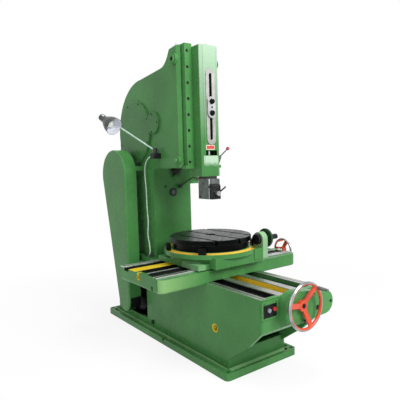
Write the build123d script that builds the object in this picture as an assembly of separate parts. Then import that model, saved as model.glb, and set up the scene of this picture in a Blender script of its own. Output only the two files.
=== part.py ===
"""Vertical slotting machine: tray base, bed, column with a driven ram, saddle, carriage and turntable.

Frame: millimetres, origin at the centre of the base footprint on the floor, +Z up, the operator's
side faces -Y and +X is the operator's right hand.
"""
import math
import os

from build123d import *

# Table, the size everything else was measured against
table_d = 500.0
table_t = 69.7
table_lip = 30.0
table_y = -256.0
slot_pitch = 140.0
slot_w = 18.0
slot_head_w = 30.0
slot_depth = 32.0
slot_turn = 4.0

# Base tray
base_w = 528.0
base_l = 1414.0
base_h = 40.0
rim_w = 18.0
moat_w = 28.0
moat_floor = 18.0
anchor_inset = 24.0
anchor_d = 22.0

# Bed
bed_w = 420.0
bed_front = -910.0
bed_back = 640.0
bed_top = 462.0
bed_toe = -661.0
toe_top = 92.0
toe_wall_top = 122.0
nose_z = 300.0
bed_wall = 22.0
deck_under = bed_top - 50.0
way_t = 6.0
way_in = (40.0, 85.0)
way_out = (165.0, 205.0)
trough_floor = bed_top - 84.0
screw_z = bed_top - 50.0
long_screw_d = 36.0

# Column and head
col_w = 298.0
col_wall = 24.0
col_front = 155.0
col_back = 628.0
head_front = -172.0
head_top = 1838.0
head_h = 736.0
head_under = head_top - head_h
arc_y, arc_z = 290.0, head_top - 466.0

# Guide housing, ram and tool head
guide_w = 242.0
guide_back = -80.0
guide_front = -160.0
guide_rise = 4.0
guide_top = head_top + guide_rise
keeper_t = 48.0
flange_w = 190.0
neck_w = 136.0
ram_front = -290.0
ram_low, ram_high = head_under - 56.0, guide_top - 17.0
tilt_y, tilt_z = head_front + 34.0, guide_top - 85.0
run_gap = 0.3

# Drive train
module = 5.0
crank_y, crank_z = 385.0, head_top - 481.0
drive_y, drive_z = crank_y + 79.0, crank_z - 296.0
motor_y, motor_z = 366.0, 190.0
crank_teeth, small_teeth, mid_teeth, first_teeth = 66, 16, 34, 12
crank_throw = 70.0
rocker_y, rocker_z = crank_y - 241.0, crank_z + 53.0
tip_y, tip_z = rocker_y - 334.0, crank_z + 101.0
rocker_turn = -21.9
pulley_r, motor_pulley_r = 140.0, 42.0

# Saddle and carriage
saddle_x0, saddle_x1 = -501.0, 540.0
saddle_y0, saddle_y1 = table_y - table_d / 2 + 35.0, table_y + table_d / 2 - 14.0
saddle_deck = bed_top + 62.0
saddle_low = bed_top - 15.0
cross_y, cross_z = table_y - 12.0, saddle_deck - 16.0
cross_screw_d = 28.0
dish_w = 37.0
ring_r = table_d / 2 + dish_w
seat_z = saddle_deck + 92.0
worm_y, worm_z = table_y - table_d / 2 + 26.0, seat_z - 44.0
index_z = seat_z + 44.0
house_x = 0.26 * table_d + 60.0

# Handwheels
long_wheel_r = 123.0
long_wheel_y = bed_front - 90.0
cross_wheel_r = 80.0
cross_wheel_x = saddle_x1 + 95.0

# Lamp
lamp_neck = Vector(-490.0, 187.0, head_under + 329.0)
lamp_dir = Vector(0.257, -0.812, -0.525).normalized()
lamp_mouth_r = 55.0
lamp_len = 132.0
lamp_post = Vector(-col_w / 2 - 29.0, 75.0, head_under + 98.0)
cable_d = 8.0

NODES = {}


def block(x0, x1, y0, y1, z0, z1):
    """Box given by its six faces."""
    size = Box(abs(x1 - x0), abs(y1 - y0), abs(z1 - z0))
    return Pos((x0 + x1) / 2, (y0 + y1) / 2, (z0 + z1) / 2) * size


def sheet_x(sketch, x0, x1):
    """Sketch drawn in (y, z), thickened from x0 to x1."""
    return extrude(Plane.YZ.offset(x0) * sketch, x1 - x0, dir=(1, 0, 0))


def sheet_y(sketch, y0, y1):
    """Sketch drawn in (x, z), thickened from y0 to y1."""
    return extrude(Plane.XZ.offset(-y1) * sketch, y1 - y0, dir=(0, -1, 0))


def sheet_z(sketch, z0, z1):
    """Sketch drawn in (x, y), thickened from z0 to z1."""
    return extrude(Plane.XY.offset(z0) * sketch, z1 - z0, dir=(0, 0, 1))


def poly(*points):
    """Closed outline through the points, always drawn counter-clockwise."""
    area = sum(p[0] * q[1] - q[0] * p[1] for p, q in zip(points, points[1:] + points[:1]))
    return Polygon(*(points if area > 0 else points[::-1]), align=None)


def rod_x(y, z, r, x0, x1):
    return sheet_x(Pos(y, z) * Circle(r), x0, x1)


def side_rod(sx, y, z, r, near, far):
    """Rod along X on the side with sign sx, between two distances from the middle plane."""
    return rod_x(y, z, r, min(sx * near, sx * far), max(sx * near, sx * far))


def rod_y(x, z, r, y0, y1):
    return sheet_y(Pos(x, z) * Circle(r), y0, y1)


def rod_z(x, y, r, z0, z1):
    return sheet_z(Pos(x, y) * Circle(r), z0, z1)


def hex_x(y, z, r, x0, x1):
    return sheet_x(Pos(y, z) * RegularPolygon(r, 6), x0, x1)


def hex_y(x, z, r, y0, y1):
    return sheet_y(Pos(x, z) * RegularPolygon(r, 6), y0, y1)


def hex_z(x, y, r, z0, z1):
    return sheet_z(Pos(x, y) * RegularPolygon(r, 6), z0, z1)


def rod(p, q, r):
    """Round bar from point p to point q."""
    p, q = Vector(*p), Vector(*q)
    along = q - p
    return Plane(origin=p, z_dir=along).location * Pos(0, 0, along.length / 2) * Cylinder(r, along.length)


def hull(c1, r1, c2, r2):
    """Outline of a tight belt round two circles."""
    dx, dy = c2[0] - c1[0], c2[1] - c1[1]
    turn = math.atan2(dy, dx)
    lean = math.acos((r1 - r2) / math.hypot(dx, dy))
    corners = []
    for centre, r, sides in ((c1, r1, (-1, 1)), (c2, r2, (1, -1))):
        for side in sides:
            a = turn + side * lean
            corners.append((centre[0] + r * math.cos(a), centre[1] + r * math.sin(a)))
    return poly(*corners) + Pos(*c1) * Circle(r1) + Pos(*c2) * Circle(r2)


def gear(y, z, teeth, x0, x1, aim):
    """Spur gear on an axis along X; one tooth points along the angle aim in the y-z plane."""
    pitch_r = module * teeth / 2
    root_r, tip_r = pitch_r - 1.15 * module, pitch_r + 0.8 * module
    half = 0.2 * math.pi * module
    slope = math.tan(math.radians(20))
    points = []
    for i in range(teeth):
        a = aim + 2 * math.pi * i / teeth
        for r, side in ((root_r, -1), (tip_r, -1), (tip_r, 1), (root_r, 1)):
            b = a + side * (half - (r - pitch_r) * slope) / r
            points.append((y + r * math.cos(b), z + r * math.sin(b)))
    return sheet_x(poly(*points), x0, x1)


def add(name, *shapes):
    """Keep one node, made of the shapes given."""
    whole = shapes[0]
    for shape in shapes[1:]:
        whole = whole + shape
    NODES[name] = whole


def loose(name, shapes):
    """Keep one node made of separate solids."""
    NODES[name] = Compound(children=[s for shape in shapes for s in shape.solids()])


# Base tray: rim, moat, plinth and four corner pads with anchor holes
bw, bl = base_w / 2, base_l / 2
inner_w, inner_l = bw - rim_w - moat_w, bl - rim_w - moat_w
tray = fillet(block(-bw, bw, -bl, bl, 0, base_h).edges().filter_by(Axis.Z), 24)
moat = block(-bw + rim_w, bw - rim_w, -bl + rim_w, bl - rim_w, moat_floor, base_h + 1)
moat -= block(-inner_w, inner_w, -inner_l, inner_l, moat_floor - 1, base_h + 2)
for sx in (-1, 1):
    for sy in (-1, 1):
        pad = 2 * anchor_inset + 4
        moat -= block(sx * (bw - pad), sx * bw, sy * (bl - pad), sy * bl, 0, base_h + 2)
tray -= moat
for sx in (-1, 1):
    for sy in (-1, 1):
        tray -= rod_z(sx * (bw - anchor_inset), sy * (bl - anchor_inset), anchor_d / 2, -1, base_h + 1)
tray -= block(-bw - 1, -bw + rim_w + 1, -97, -73, moat_floor + 8, base_h + 1)
add("base_plate", tray)

# Bed: hollow box with an open overhanging nose, screw trough, sunk channels and ground strips
bh = bed_w / 2
bed = sheet_x(poly((bed_toe, base_h), (bed_toe, toe_top), (bed_front + 94, nose_z - 94),
                   (bed_front, nose_z), (bed_front, bed_top),
                   (bed_back, bed_top), (bed_back, base_h)), -bh, bh)
ends = [e for e in bed.edges().filter_by(Axis.Z)
        if e.center().Y < bed_front + 1 or e.center().Y > bed_back - 1]
bed = fillet(ends, 16)
bed += block(-bh - 5, bh + 5, bed_toe, bed_back, base_h, base_h + 18)
hollow = block(-bh + bed_wall, bh - bed_wall, bed_front + bed_wall, bed_back - bed_wall,
               base_h - 1, deck_under)
hollow -= block(-bh, bh, bed_toe, bed_toe + bed_wall, base_h - 2, toe_wall_top)
hollow -= block(-way_in[0] - 22, way_in[0] + 22, bed_front, bed_back, trough_floor - 20, deck_under + 1)
bed -= hollow
way_y0, way_y1 = bed_front + 10, 150.0
bed -= block(-way_in[0], way_in[0], bed_front + bed_wall, 138, trough_floor, bed_top + 1)
ways = []
for sx in (-1, 1):
    bed -= block(sx * way_in[1], sx * way_out[0], way_y0 + 14, way_y1 - 40, bed_top - 25, bed_top + 1)
    for strip in (way_in, way_out):
        bed -= block(sx * strip[0], sx * strip[1], way_y0, way_y1, bed_top - way_t, bed_top + 1)
        ways.append(block(sx * strip[0], sx * strip[1], way_y0, way_y1, bed_top - way_t, bed_top))
bed -= block(-bh - 1, -bh + bed_wall + 1, 198, 465, base_h + 40, bed_top - 62)
bed -= rod_x(-547, 227, 20, -bh - 1, bh + 1)
bed -= rod_y(0, screw_z, long_screw_d / 2 + run_gap, bed_front - 1, bed_front + bed_wall + 1)
button_at = {"start_button": (-167.0, bed_top - 54), "stop_button": (-132.0, bed_top - 52)}
for bx, bz in button_at.values():
    bed -= rod_y(bx, bz, 13, bed_front - 1, bed_front + 14)
loose("bed_ways", ways)

# Long feed: gearbox on the bed nose, screw in the trough, handwheel with crank handle
gear_box = sheet_y(hull((-19, screw_z - 14), 84, (200, screw_z - 27), 62), bed_front - 55, bed_front)
gear_box = fillet(gear_box.edges().sort_by(Axis.Y)[:4], 7)
gear_box -= rod_y(0, screw_z, long_screw_d / 2 + run_gap, bed_front - 60, bed_front + 1)
gear_box -= rod_y(133, screw_z - 41, 14, bed_front - 56, bed_front - 43)
add("feed_gearbox", gear_box)
screw_tip = long_wheel_y + 10
add("long_feed_screw", rod_y(0, screw_z, long_screw_d / 2, bed_front - 54, 125),
    rod_y(0, screw_z, 12, screw_tip, bed_front - 53))


def handwheel(radius, tube, spokes, hub_r, hub_l, bore, first, dish=0.0):
    """Wheel lying in x-y with its axis on Z, rim at z = 0 and the hub set back by the dish."""
    ring_c = radius - tube
    wheel = Torus(ring_c, tube)
    reach = math.hypot(ring_c, dish)
    lean = math.degrees(math.atan2(dish, ring_c))
    spoke = Pos(ring_c / 2, 0, -dish / 2) * Rot(0, -lean, 0) * Box(reach, 24, 10)
    for i in range(spokes):
        wheel += Rot(0, 0, first + 360 * i / spokes) * spoke
    wheel += Pos(0, 0, -dish) * Cylinder(hub_r, hub_l)
    return wheel - Pos(0, 0, -dish) * Cylinder(bore, hub_l + 2)


wheel = handwheel(long_wheel_r, 9, 3, 27, 22, 12, 49, 23)
crank_r = long_wheel_r - 9
grip = Pos(crank_r * math.cos(math.radians(44)), crank_r * math.sin(math.radians(44)), 0)
wheel += grip * Pos(0, 0, 6) * Cylinder(8, 12)
face_front = Pos(0, long_wheel_y, screw_z) * Rot(90, 0, 0)
add("long_handwheel", face_front * wheel)
add("long_wheel_handle", face_front * grip * Pos(0, 0, 40) * Cone(10, 6.5, 56))

# Push button panel on the bed nose
panel = block(-214, -105, bed_front - 8, bed_front, bed_top - 96, bed_top - 9)
panel -= block(-207, -112, bed_front - 9, bed_front - 4, bed_top - 90, bed_top - 24)
for name, (bx, bz) in button_at.items():
    panel -= rod_y(bx, bz, 10.4, bed_front - 9, bed_front + 1)
    add(name, rod_y(bx, bz, 10, bed_front - 13, bed_front + 4),
        rod_y(bx, bz, 12.4, bed_front + run_gap, bed_front + 4))
add("button_panel", panel)

# Column: hollow casting, open at the front of the head where the guide housing hangs
ch = col_w / 2
ear = (head_front + 92, head_top - 10)
brow = [ear, (head_front + 115, head_top - 49), (head_front + 143, head_top - 81),
        (head_front + 190, head_top - 104)]
roof_z = arc_z + (col_back - arc_y)
outline = [
    Line((col_front, bed_top), (col_front, head_under - 25)),
    RadiusArc((col_front, head_under - 25), (col_front - 25, head_under), -25),
    Line((col_front - 25, head_under), (head_front + 20, head_under)),
    RadiusArc((head_front + 20, head_under), (head_front, head_under + 20), 20),
    Line((head_front, head_under + 20), (head_front, head_top)),
    Line((head_front, head_top), ear),
    Spline(*brow),
    Line(brow[-1], (arc_y, roof_z)),
    RadiusArc((arc_y, roof_z), (col_back, arc_z), col_back - arc_y),
    Line((col_back, arc_z), (col_back, bed_top)),
    Line((col_back, bed_top), (col_front, bed_top)),
]
column = sheet_x(make_face(outline), -ch, ch)
in_r = col_back - arc_y - col_wall
inside = [
    Line((col_front + col_wall, bed_top + 38), (col_back - col_wall, bed_top + 38)),
    Line((col_back - col_wall, bed_top + 38), (col_back - col_wall, arc_z)),
    RadiusArc((col_back - col_wall, arc_z), (arc_y, arc_z + in_r), -in_r),
    Polyline((arc_y, arc_z + in_r), (18, arc_z + in_r + 22), (-60, arc_z + in_r + 28), (-60, head_top + 80),
             (head_front - 30, head_top + 80), (head_front - 30, head_under - 60), (-55, head_under - 60),
             (-55, head_under + col_wall), (col_front + col_wall, head_under + col_wall),
             (col_front + col_wall, bed_top + 38)),
]
column -= sheet_x(make_face(inside), -ch + col_wall, ch - col_wall)
column += block(-ch - 36, ch + 36, col_front - 30, bed_back, bed_top, bed_top + 36) \
    - block(-ch + col_wall, ch - col_wall, col_front + col_wall, col_back - col_wall,
            bed_top - 1, bed_top + 40)
column -= block(-ch + col_wall, ch - col_wall, col_front + col_wall, col_back - col_wall,
                bed_top - 1, bed_top + 40)
cover_r, cover_t = 218.0, 16.0
hatch_r = 170.0
column -= rod_x(crank_y, crank_z, hatch_r, -ch - 1, -ch + col_wall + 1)
edge_cut = 16.0
for sx in (-1, 1):
    corner = poly((sx * (ch + 1), head_front + edge_cut + 1), (sx * (ch - edge_cut - 1), head_front - 1),
                  (sx * (ch + 1), head_front - 1))
    column -= sheet_z(corner, head_under - 1, head_top + 1)
boss_r = tilt_y - head_front
lock_at = (head_front + 26, head_under + 45)
for sx in (-1, 1):
    column += side_rod(sx, tilt_y, tilt_z, boss_r, ch - 20, ch + 14)
    column += side_rod(sx, tilt_y, tilt_z, boss_r - 9, ch - 2, ch + 23)
    column += side_rod(sx, *lock_at, 26, ch - 20, ch + 12)
column += rod_y(24, head_under - 58, 20, col_front - 26, col_front + 2)

# Guide housing with its keepers and pivot pins; it hangs between the head walls
gh, fh = guide_w / 2, flange_w / 2 + 0.4
back_t = 25.0
guide = block(-gh, gh, guide_front, guide_back, head_under, guide_top)
guide -= block(-fh, fh, guide_front - 1, guide_back - back_t, head_under - 1, guide_top + 1)
guide -= block(-60, 60, guide_back - back_t - 1, guide_back + 1, tip_z - 218, tip_z + 182)
pin_r = 14.0
keepers, keeper_bolts = [], []
keeper_face = guide_front - keeper_t
bolt_step = (guide_top - head_under - 78) / 7
bolt_zs = [head_under + 34 + bolt_step * i for i in range(8)]
pins = []
for sx in (-1, 1):
    guide -= side_rod(sx, tilt_y, tilt_z, pin_r + run_gap, fh - 1, gh + 1)
    column -= side_rod(sx, tilt_y, tilt_z, pin_r, gh - 1, ch + 30)
    pins.append(side_rod(sx, tilt_y, tilt_z, pin_r, fh + 2, ch + 15))
    keeper = block(sx * (neck_w / 2 + 1), sx * gh, keeper_face, guide_front, head_under, guide_top)
    keeper += block(sx * (neck_w / 2 + 1), sx * (gh + 14), keeper_face - 4, head_front - 2,
                    head_under - 6, head_under + 12)
    bx = sx * (gh - 17)
    for bz in bolt_zs:
        guide -= hex_y(bx, bz, 6, guide_front - 1, guide_front + 18)
        keeper -= hex_y(bx, bz, 6, keeper_face - 1, guide_front + 1)
        keeper -= rod_y(bx, bz, 10, keeper_face - 1, keeper_face + 12)
        keeper_bolts.append(hex_y(bx, bz, 9, keeper_face + 4, keeper_face + 12)
                            + hex_y(bx, bz, 6, keeper_face + 11, guide_front + 18))
    keepers.append(keeper)
add("guide_housing", guide)
loose("keeper_strips", keepers)
loose("keeper_bolts", keeper_bolts)
loose("tilt_pins", pins)

# Ram: T-shaped slide with an open back, stroke slot, clamp plate and adjusting screw
nh = neck_w / 2
ram_back = guide_back - back_t - run_gap
ram_skin = 18.0
neck_back = guide_front + run_gap + 1
neck = sheet_z(poly((-nh, neck_back), (-nh, ram_front + 12), (-nh + 22, ram_front), (nh - 22, ram_front),
                    (nh, ram_front + 12), (nh, neck_back)), ram_low, ram_high)
flange_low = head_under + 8
ram = neck + block(-flange_w / 2, flange_w / 2, guide_front + run_gap, ram_back, flange_low, ram_high)
ram -= block(-50, 50, ram_front + ram_skin, ram_back + 1, ram_low + 84, ram_high - 35)
plate_t = 5.0
slot_z0, slot_z1 = ram_low + 218, ram_high - 165
ram -= block(-42, 42, ram_front - 1, ram_front + ram_skin + 1, ram_low + 126, ram_low + 156)
slot_mid, slot_len = (slot_z0 + slot_z1) / 2, slot_z1 - slot_z0
slot_hole = Pos(0, slot_mid) * Rot(0, 0, 90) * SlotOverall(slot_len, 20)
ram -= sheet_y(slot_hole, ram_front - 1, ram_front + ram_skin + 1)
plate = Pos(0, slot_mid) * Rot(0, 0, 90) * SlotOverall(slot_len + 56, 66)
add("slot_plate", sheet_y(plate - slot_hole, ram_front - plate_t, ram_front))
clamp_front = ram_front - plate_t - 10
clamp = sheet_y(Pos(0, tip_z) * Rot(0, 0, 90) * SlotOverall(128, 58), clamp_front, ram_front - plate_t)
clamp -= rod_y(0, tip_z, 5, clamp_front - 1, clamp_front + 8)
block_front = ram_front + ram_skin
die = block(-45, 45, block_front, block_front + 22, tip_z - 60, tip_z + 60)
die += block(2, 42, block_front + 20, tip_y + 22, tip_z - 38, tip_z + 38)
die -= block(1, 43, tip_y - 26, tip_y + 23, tip_z - 15, tip_z + 15)
ram_bolts = []
for bz in (tip_z - 34, tip_z + 34):
    clamp -= hex_y(0, bz, 8, clamp_front - 1, ram_front)
    die -= hex_y(0, bz, 8, block_front - 1, block_front + 18)
    ram_bolts.append(hex_y(0, bz, 15, clamp_front - 12, clamp_front)
                     + hex_y(0, bz, 8, clamp_front - 1, block_front + 18))
loose("ram_clamp", [clamp] + ram_bolts)
screw_y = block_front + 11
die -= rod_z(0, screw_y, 7, tip_z - 61, tip_z - 46)
add("ram_block", die)
add("ram_screw", rod_z(0, screw_y, 7, ram_low + 84, tip_z - 46),
    rod_z(0, screw_y, 10.5, ram_low + 130, ram_low + 152))

# Tool head, swinging clapper and its clamp screw
head_y0, head_y1 = ram_front - 22, ram_front + 91
tool_head = block(-42, 42, head_y0, head_y1, ram_low - 138, ram_low - 16)
tool_head = chamfer(tool_head.edges().filter_by(Axis.Z), 4)
tool_head += block(-38, 38, ram_front + 2, head_y1 - 4, ram_low - 17, ram_low)
hinge_z = ram_low - 62
tool_head -= block(-40.4, 26.4, head_y0 - 1, head_y0 + 18, ram_low - 139, ram_low - 46)
tool_head -= block(-15, 15, ram_front + 28, ram_front + 58, ram_low - 139, ram_low - 60)
add("tool_head", tool_head)
clap_y = head_y0 - 24
clap = block(-39.6, 25.6, clap_y, head_y0 + 17, ram_low - 138, ram_low - 49)
clap = fillet([e for e in clap.edges().filter_by(Axis.X) if e.center().Z > ram_low - 52], 12)
pin_y = head_y0 + 5
clap -= rod_y(-7, ram_low - 102, 9, clap_y - 1, clap_y + 20)
add("clapper", clap, rod_x(pin_y, hinge_z, 6, -47, 33))
tool_head = NODES["tool_head"] - rod_x(pin_y, hinge_z, 6 + run_gap, -41, 34)
tool_head -= rod_x(pin_y, hinge_z, 6 + run_gap, -50, -39)
NODES["tool_head"] = tool_head
NODES["clapper"] = clap + rod_x(pin_y, hinge_z, 6, -41.8, 33)
add("tool_clamp_screw", rod_y(-7, ram_low - 102, 15, clap_y - 24, clap_y),
    rod_y(-7, ram_low - 102, 9, clap_y - 1, clap_y + 20),
    rod((-7, clap_y - 15, ram_low - 102), (52, clap_y - 15, ram_low - 66), 4.5))

# Ram lever at the lower right of the ram
lever_y, lever_z = ram_front + 22, ram_low + 114
ball = Vector(91, ram_front - 44, lever_z + 51)
root = Vector(nh + 8, lever_y, lever_z)
ram -= rod_x(lever_y, lever_z, 6 + run_gap, nh - 14, nh + 1)
add("ram_lever_rod", rod_x(lever_y, lever_z, 13, nh + 0.6, nh + 15),
    rod_x(lever_y, lever_z, 6, nh - 12, nh + 4), rod(tuple(root), tuple(ball), 3.6))
NODES["ram_lever_rod"] = NODES["ram_lever_rod"] - Pos(*ball) * Sphere(11)
add("ram_lever_ball", Pos(*ball) * Sphere(11))
add("ram_casting", ram)

# Clutch lever on a boss of the column front, and the clutch box on the column's right side
fork_x, fork_z = 46.0, head_under - 126
fork_y = col_front - 14
column += rod_y(fork_x, fork_z, 15, fork_y, col_front + 2)
column -= rod_y(fork_x, fork_z, 7 + run_gap, fork_y - 1, col_front + 12)
bend = Vector(ch + 5, fork_y - 11, head_under - 68)
knob = Vector(ch + 60, fork_y - 11, head_under - 77)
clutch = rod(tuple(bend), tuple(knob), 3.8)
clutch += rod((fork_x, fork_y - 11, fork_z), tuple(bend), 3.8)
clutch += Pos(*bend) * Sphere(3.8)
clutch += (rod_y(fork_x, fork_z, 12, fork_y - 20, fork_y - 0.5)
           + rod_y(fork_x, fork_z, 7, fork_y - 1, col_front + 11))
box_x, box_y, box_t = ch + 67, col_front + 175, 12.0
box_low, box_high = head_under - 112, head_under + 88
column += block(ch - 2, box_x, col_front - 5, box_y, box_low, box_high)
column -= block(ch - col_wall - 2, box_x - box_t, col_front + col_wall, box_y - box_t,
                box_low + box_t, box_high - box_t)
lid_x = box_x + 7
column += block(box_x - 1, lid_x, col_front + 10, box_y - 15, box_low + 15, box_high - 15)
add("clutch_lever_rod", clutch - Pos(*knob) * Sphere(10))
add("clutch_lever_ball", Pos(*knob) * Sphere(10))

# Drive train: motor, belts, two gear stages, crank and rocker
gap_a = module * (crank_teeth + small_teeth) / 2
gap_b = module * (mid_teeth + first_teeth) / 2
line = math.hypot(drive_y - crank_y, drive_z - crank_z)
line_turn = math.atan2(drive_z - crank_z, drive_y - crank_y)
lean = math.acos((gap_a ** 2 + line ** 2 - gap_b ** 2) / (2 * gap_a * line))
mid_turn = line_turn - lean
mid_y, mid_z = crank_y + gap_a * math.cos(mid_turn), crank_z + gap_a * math.sin(mid_turn)
to_drive = math.atan2(drive_z - mid_z, drive_y - mid_y)
slow_x, fast_x = (30.0, 70.0), (78.0, 112.0)
crank_shaft_r, shaft_r, rocker_shaft_r = 35.0, 20.0, 30.0
crank_gear = gear(crank_y, crank_z, crank_teeth, *slow_x, mid_turn)
crank_gear += rod_x(crank_y, crank_z, crank_shaft_r, slow_x[1] - 1, ch - 6)
aim = math.radians(rocker_turn)
rel_y, rel_z = crank_y - rocker_y, crank_z - rocker_z
reach = rel_y * math.cos(aim) + rel_z * math.sin(aim)
off = abs(rel_z * math.cos(aim) - rel_y * math.sin(aim))
reach += math.sqrt(crank_throw ** 2 - off ** 2)
pin_at = (rocker_y + reach * math.cos(aim), rocker_z + reach * math.sin(aim))
arm_x = (-45.0, -5.0)
add("crank_gear", crank_gear)
add("crank_pin", rod_x(*pin_at, 18, arm_x[1] + 1, slow_x[0]), rod_x(*pin_at, 28, slow_x[0] - 12, slow_x[0]))
add("counter_gear", gear(mid_y, mid_z, small_teeth, *slow_x, mid_turn + math.pi + math.pi / small_teeth),
    gear(mid_y, mid_z, mid_teeth, *fast_x, to_drive), rod_x(mid_y, mid_z, shaft_r, -ch + 6, ch - 6))
add("pinion_shaft", gear(drive_y, drive_z, first_teeth, *fast_x, to_drive + math.pi + math.pi / first_teeth),
    rod_x(drive_y, drive_z, shaft_r, -288, ch - 6))
lanes = [-266.0, -252.5, -239.0]
belts = []
for name, (py, pz, pr, bore) in {"main_pulley": (drive_y, drive_z, pulley_r, shaft_r),
                                 "motor_pulley": (motor_y, motor_z, motor_pulley_r, 0)}.items():
    pulley = rod_x(py, pz, pr, -280, -225)
    for lane in lanes:
        pulley -= rod_x(py, pz, pr + 1, lane - 5.5, lane + 5.5) - rod_x(py, pz, pr - 8, lane - 6, lane + 6)
    if bore:
        pulley -= rod_x(py, pz, bore, -300, -200)
        pulley -= rod_x(py, pz, pr - 26, -281, -268) - rod_x(py, pz, 44, -290, -260)
    NODES[name] = pulley
NODES["motor_pulley"] = NODES["motor_pulley"] + rod_x(motor_y, motor_z, 14, -226, -148)
for lane in lanes:
    loop = hull((drive_y, drive_z), pulley_r - 1, (motor_y, motor_z), motor_pulley_r - 1)
    loop -= hull((drive_y, drive_z), pulley_r - 7.7, (motor_y, motor_z), motor_pulley_r - 7.7)
    belts.append(sheet_x(loop, lane - 4.5, lane + 4.5))
loose("v_belts", belts)
motor = rod_x(motor_y, motor_z, 98, -168, 112)
motor += block(-130, 74, motor_y - 84, motor_y + 84, base_h, base_h + 14)
motor += block(-120, 64, motor_y - 66, motor_y + 66, base_h, motor_z - 40)
motor += block(-90, 30, motor_y + 40, motor_y + 118, motor_z - 10, motor_z + 60)
motor -= rod_x(motor_y, motor_z, 14 + run_gap, -170, -140)
add("main_motor", motor)
tip = (tip_y, tip_z)
pivot = (rocker_y, rocker_z)
slot_r = 24.0
arm_end = (rocker_y + 385 * math.cos(aim), rocker_z + 385 * math.sin(aim))
arm = hull(pivot, 46, tip, 24) + hull(pivot, 46, arm_end, 44)
far = [(rocker_y + t * math.cos(aim), rocker_z + t * math.sin(aim)) for t in (150, 350)]
arm -= hull(far[0], slot_r, far[1], slot_r - 0.001)
rocker = sheet_x(arm, *arm_x) + rod_x(*pivot, 50, -62, 14) + rod_x(*pivot, rocker_shaft_r, -ch + 6, ch - 6)
rocker += rod_x(*tip, 12, arm_x[1] - 2, 1)
add("rocker_arm", rocker)

# Bearing bushes in the column walls
bushes = []
bush_list = [(crank_y, crank_z, crank_shaft_r, 1, 8),
             (mid_y, mid_z, shaft_r, 1, 8), (mid_y, mid_z, shaft_r, -1, 0),
             (drive_y, drive_z, shaft_r, 1, 8), (drive_y, drive_z, shaft_r, -1, 8),
             (*pivot, rocker_shaft_r, 1, 8), (*pivot, rocker_shaft_r, -1, 8)]
for y, z, r, sx, proud in bush_list:
    x_in, x_end = sx * (ch - col_wall - 5), sx * (ch + proud)
    through = sx < 0 and (y, z) == (drive_y, drive_z)
    bore_end = x_end + sx if through else sx * (ch - 4)
    column -= rod_x(y, z, r + 14, min(x_in, x_end), max(x_in, x_end))
    bush = rod_x(y, z, r + 14, min(x_in, x_end), max(x_in, x_end))
    x_cut = sx * (ch - col_wall - 6)
    bushes.append(bush - rod_x(y, z, r + run_gap, min(x_cut, bore_end), max(x_cut, bore_end)))
loose("shaft_bearings", bushes)

# Covers, sight glass and the screws that hold the frame together
screws = []


def side_screw(y, z, r, x_face, deep, head):
    """Hex screw standing on a left-hand face; returns its solid and the hole for it."""
    screws.append(hex_x(y, z, r, x_face - head, x_face) + hex_x(y, z, r * 0.6, x_face - 1, x_face + deep))
    return hex_x(y, z, r * 0.6, x_face - 1, x_face + deep)


cap_r = 72.0
cap_at = (rocker_y - 20, rocker_z - 9)
cover = sheet_x(Pos(crank_y, crank_z) * Circle(cover_r) + Pos(*cap_at) * Circle(cap_r), -ch - cover_t, -ch)
cover = fillet(cover.edges().group_by(Axis.X)[0], 4)
cover -= rod_x(*pivot, rocker_shaft_r + 14, -ch - 8, -ch + 1)
screw_spots = [(crank_y, crank_z, cover_r - 13, 22.5 + 45 * i) for i in range(8)]
screw_spots += [(*cap_at, cap_r - 12, a) for a in (80, 180, 280)]
for sy, sz, sr, a in screw_spots:
    a = math.radians(a)
    hole = side_screw(sy + sr * math.cos(a), sz + sr * math.sin(a), 6, -ch - cover_t, cover_t + 12, 4)
    cover -= hole
    column -= hole
add("crank_cover", cover)
for sx in (-1, 1):
    x_face = sx * (ch + 12)
    x_in = sx * (gh + 1.5)
    hole = hex_x(*lock_at, 9, min(x_in, x_face), max(x_in, x_face))
    column -= hole
    screws.append(hole + hex_x(*lock_at, 15, min(x_face, x_face + sx * 14), max(x_face, x_face + sx * 14)))
    for by in (col_front + 95, col_front + 260, col_back - 43):
        bolt = hex_z(sx * (ch + 19), by, 8, bed_top + 12, bed_top + 36)
        column -= bolt
        screws.append(bolt + hex_z(sx * (ch + 19), by, 14, bed_top + 36, bed_top + 48))
stud = (-58, head_under - 124)
column -= hex_y(*stud, 4, col_front, col_front + 14)
screws.append(hex_y(*stud, 4, col_front, col_front + 14) + hex_y(*stud, 8, col_front - 6, col_front))
for gx, gz in ((-78, screw_z - 14), (30, screw_z - 87), (100, screw_z + 40), (238, screw_z - 27)):
    NODES["feed_gearbox"] = NODES["feed_gearbox"] - hex_y(gx, gz, 4, bed_front - 56, bed_front - 40)
    screws.append(hex_y(gx, gz, 4, bed_front - 55, bed_front - 40)
                  + hex_y(gx, gz, 7, bed_front - 60, bed_front - 55))
screws.append(hex_x(125, 76, 13, -bh - 12, -bh))
for sy in (col_front + 20, box_y - 25):
    for sz in (box_low + 25, box_high - 25):
        hole = hex_x(sy, sz, 4, lid_x - box_t, lid_x)
        column -= hole
        screws.append(hole + hex_x(sy, sz, 7, lid_x, lid_x + 5))
loose("frame_fasteners", screws)
cups = []
for sx in (-1, 1):
    cup = hex_z(sx * (ch - 13), head_front + 24, 9, head_top, head_top + 5)
    cup += rod_z(sx * (ch - 13), head_front + 24, 6, head_top - 8, head_top + 13)
    column -= rod_z(sx * (ch - 13), head_front + 24, 6, head_top - 8, head_top + 1)
    cups.append(cup)
loose("oil_cups", cups)
glass_z = head_under - 165
column -= rod_y(0, glass_z, 20, col_front - 1, col_front + 8)
add("oil_sight_glass", rod_y(0, glass_z, 27, col_front - 8, col_front)
    + rod_y(0, glass_z, 20, col_front - 1, col_front + 8))

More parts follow.
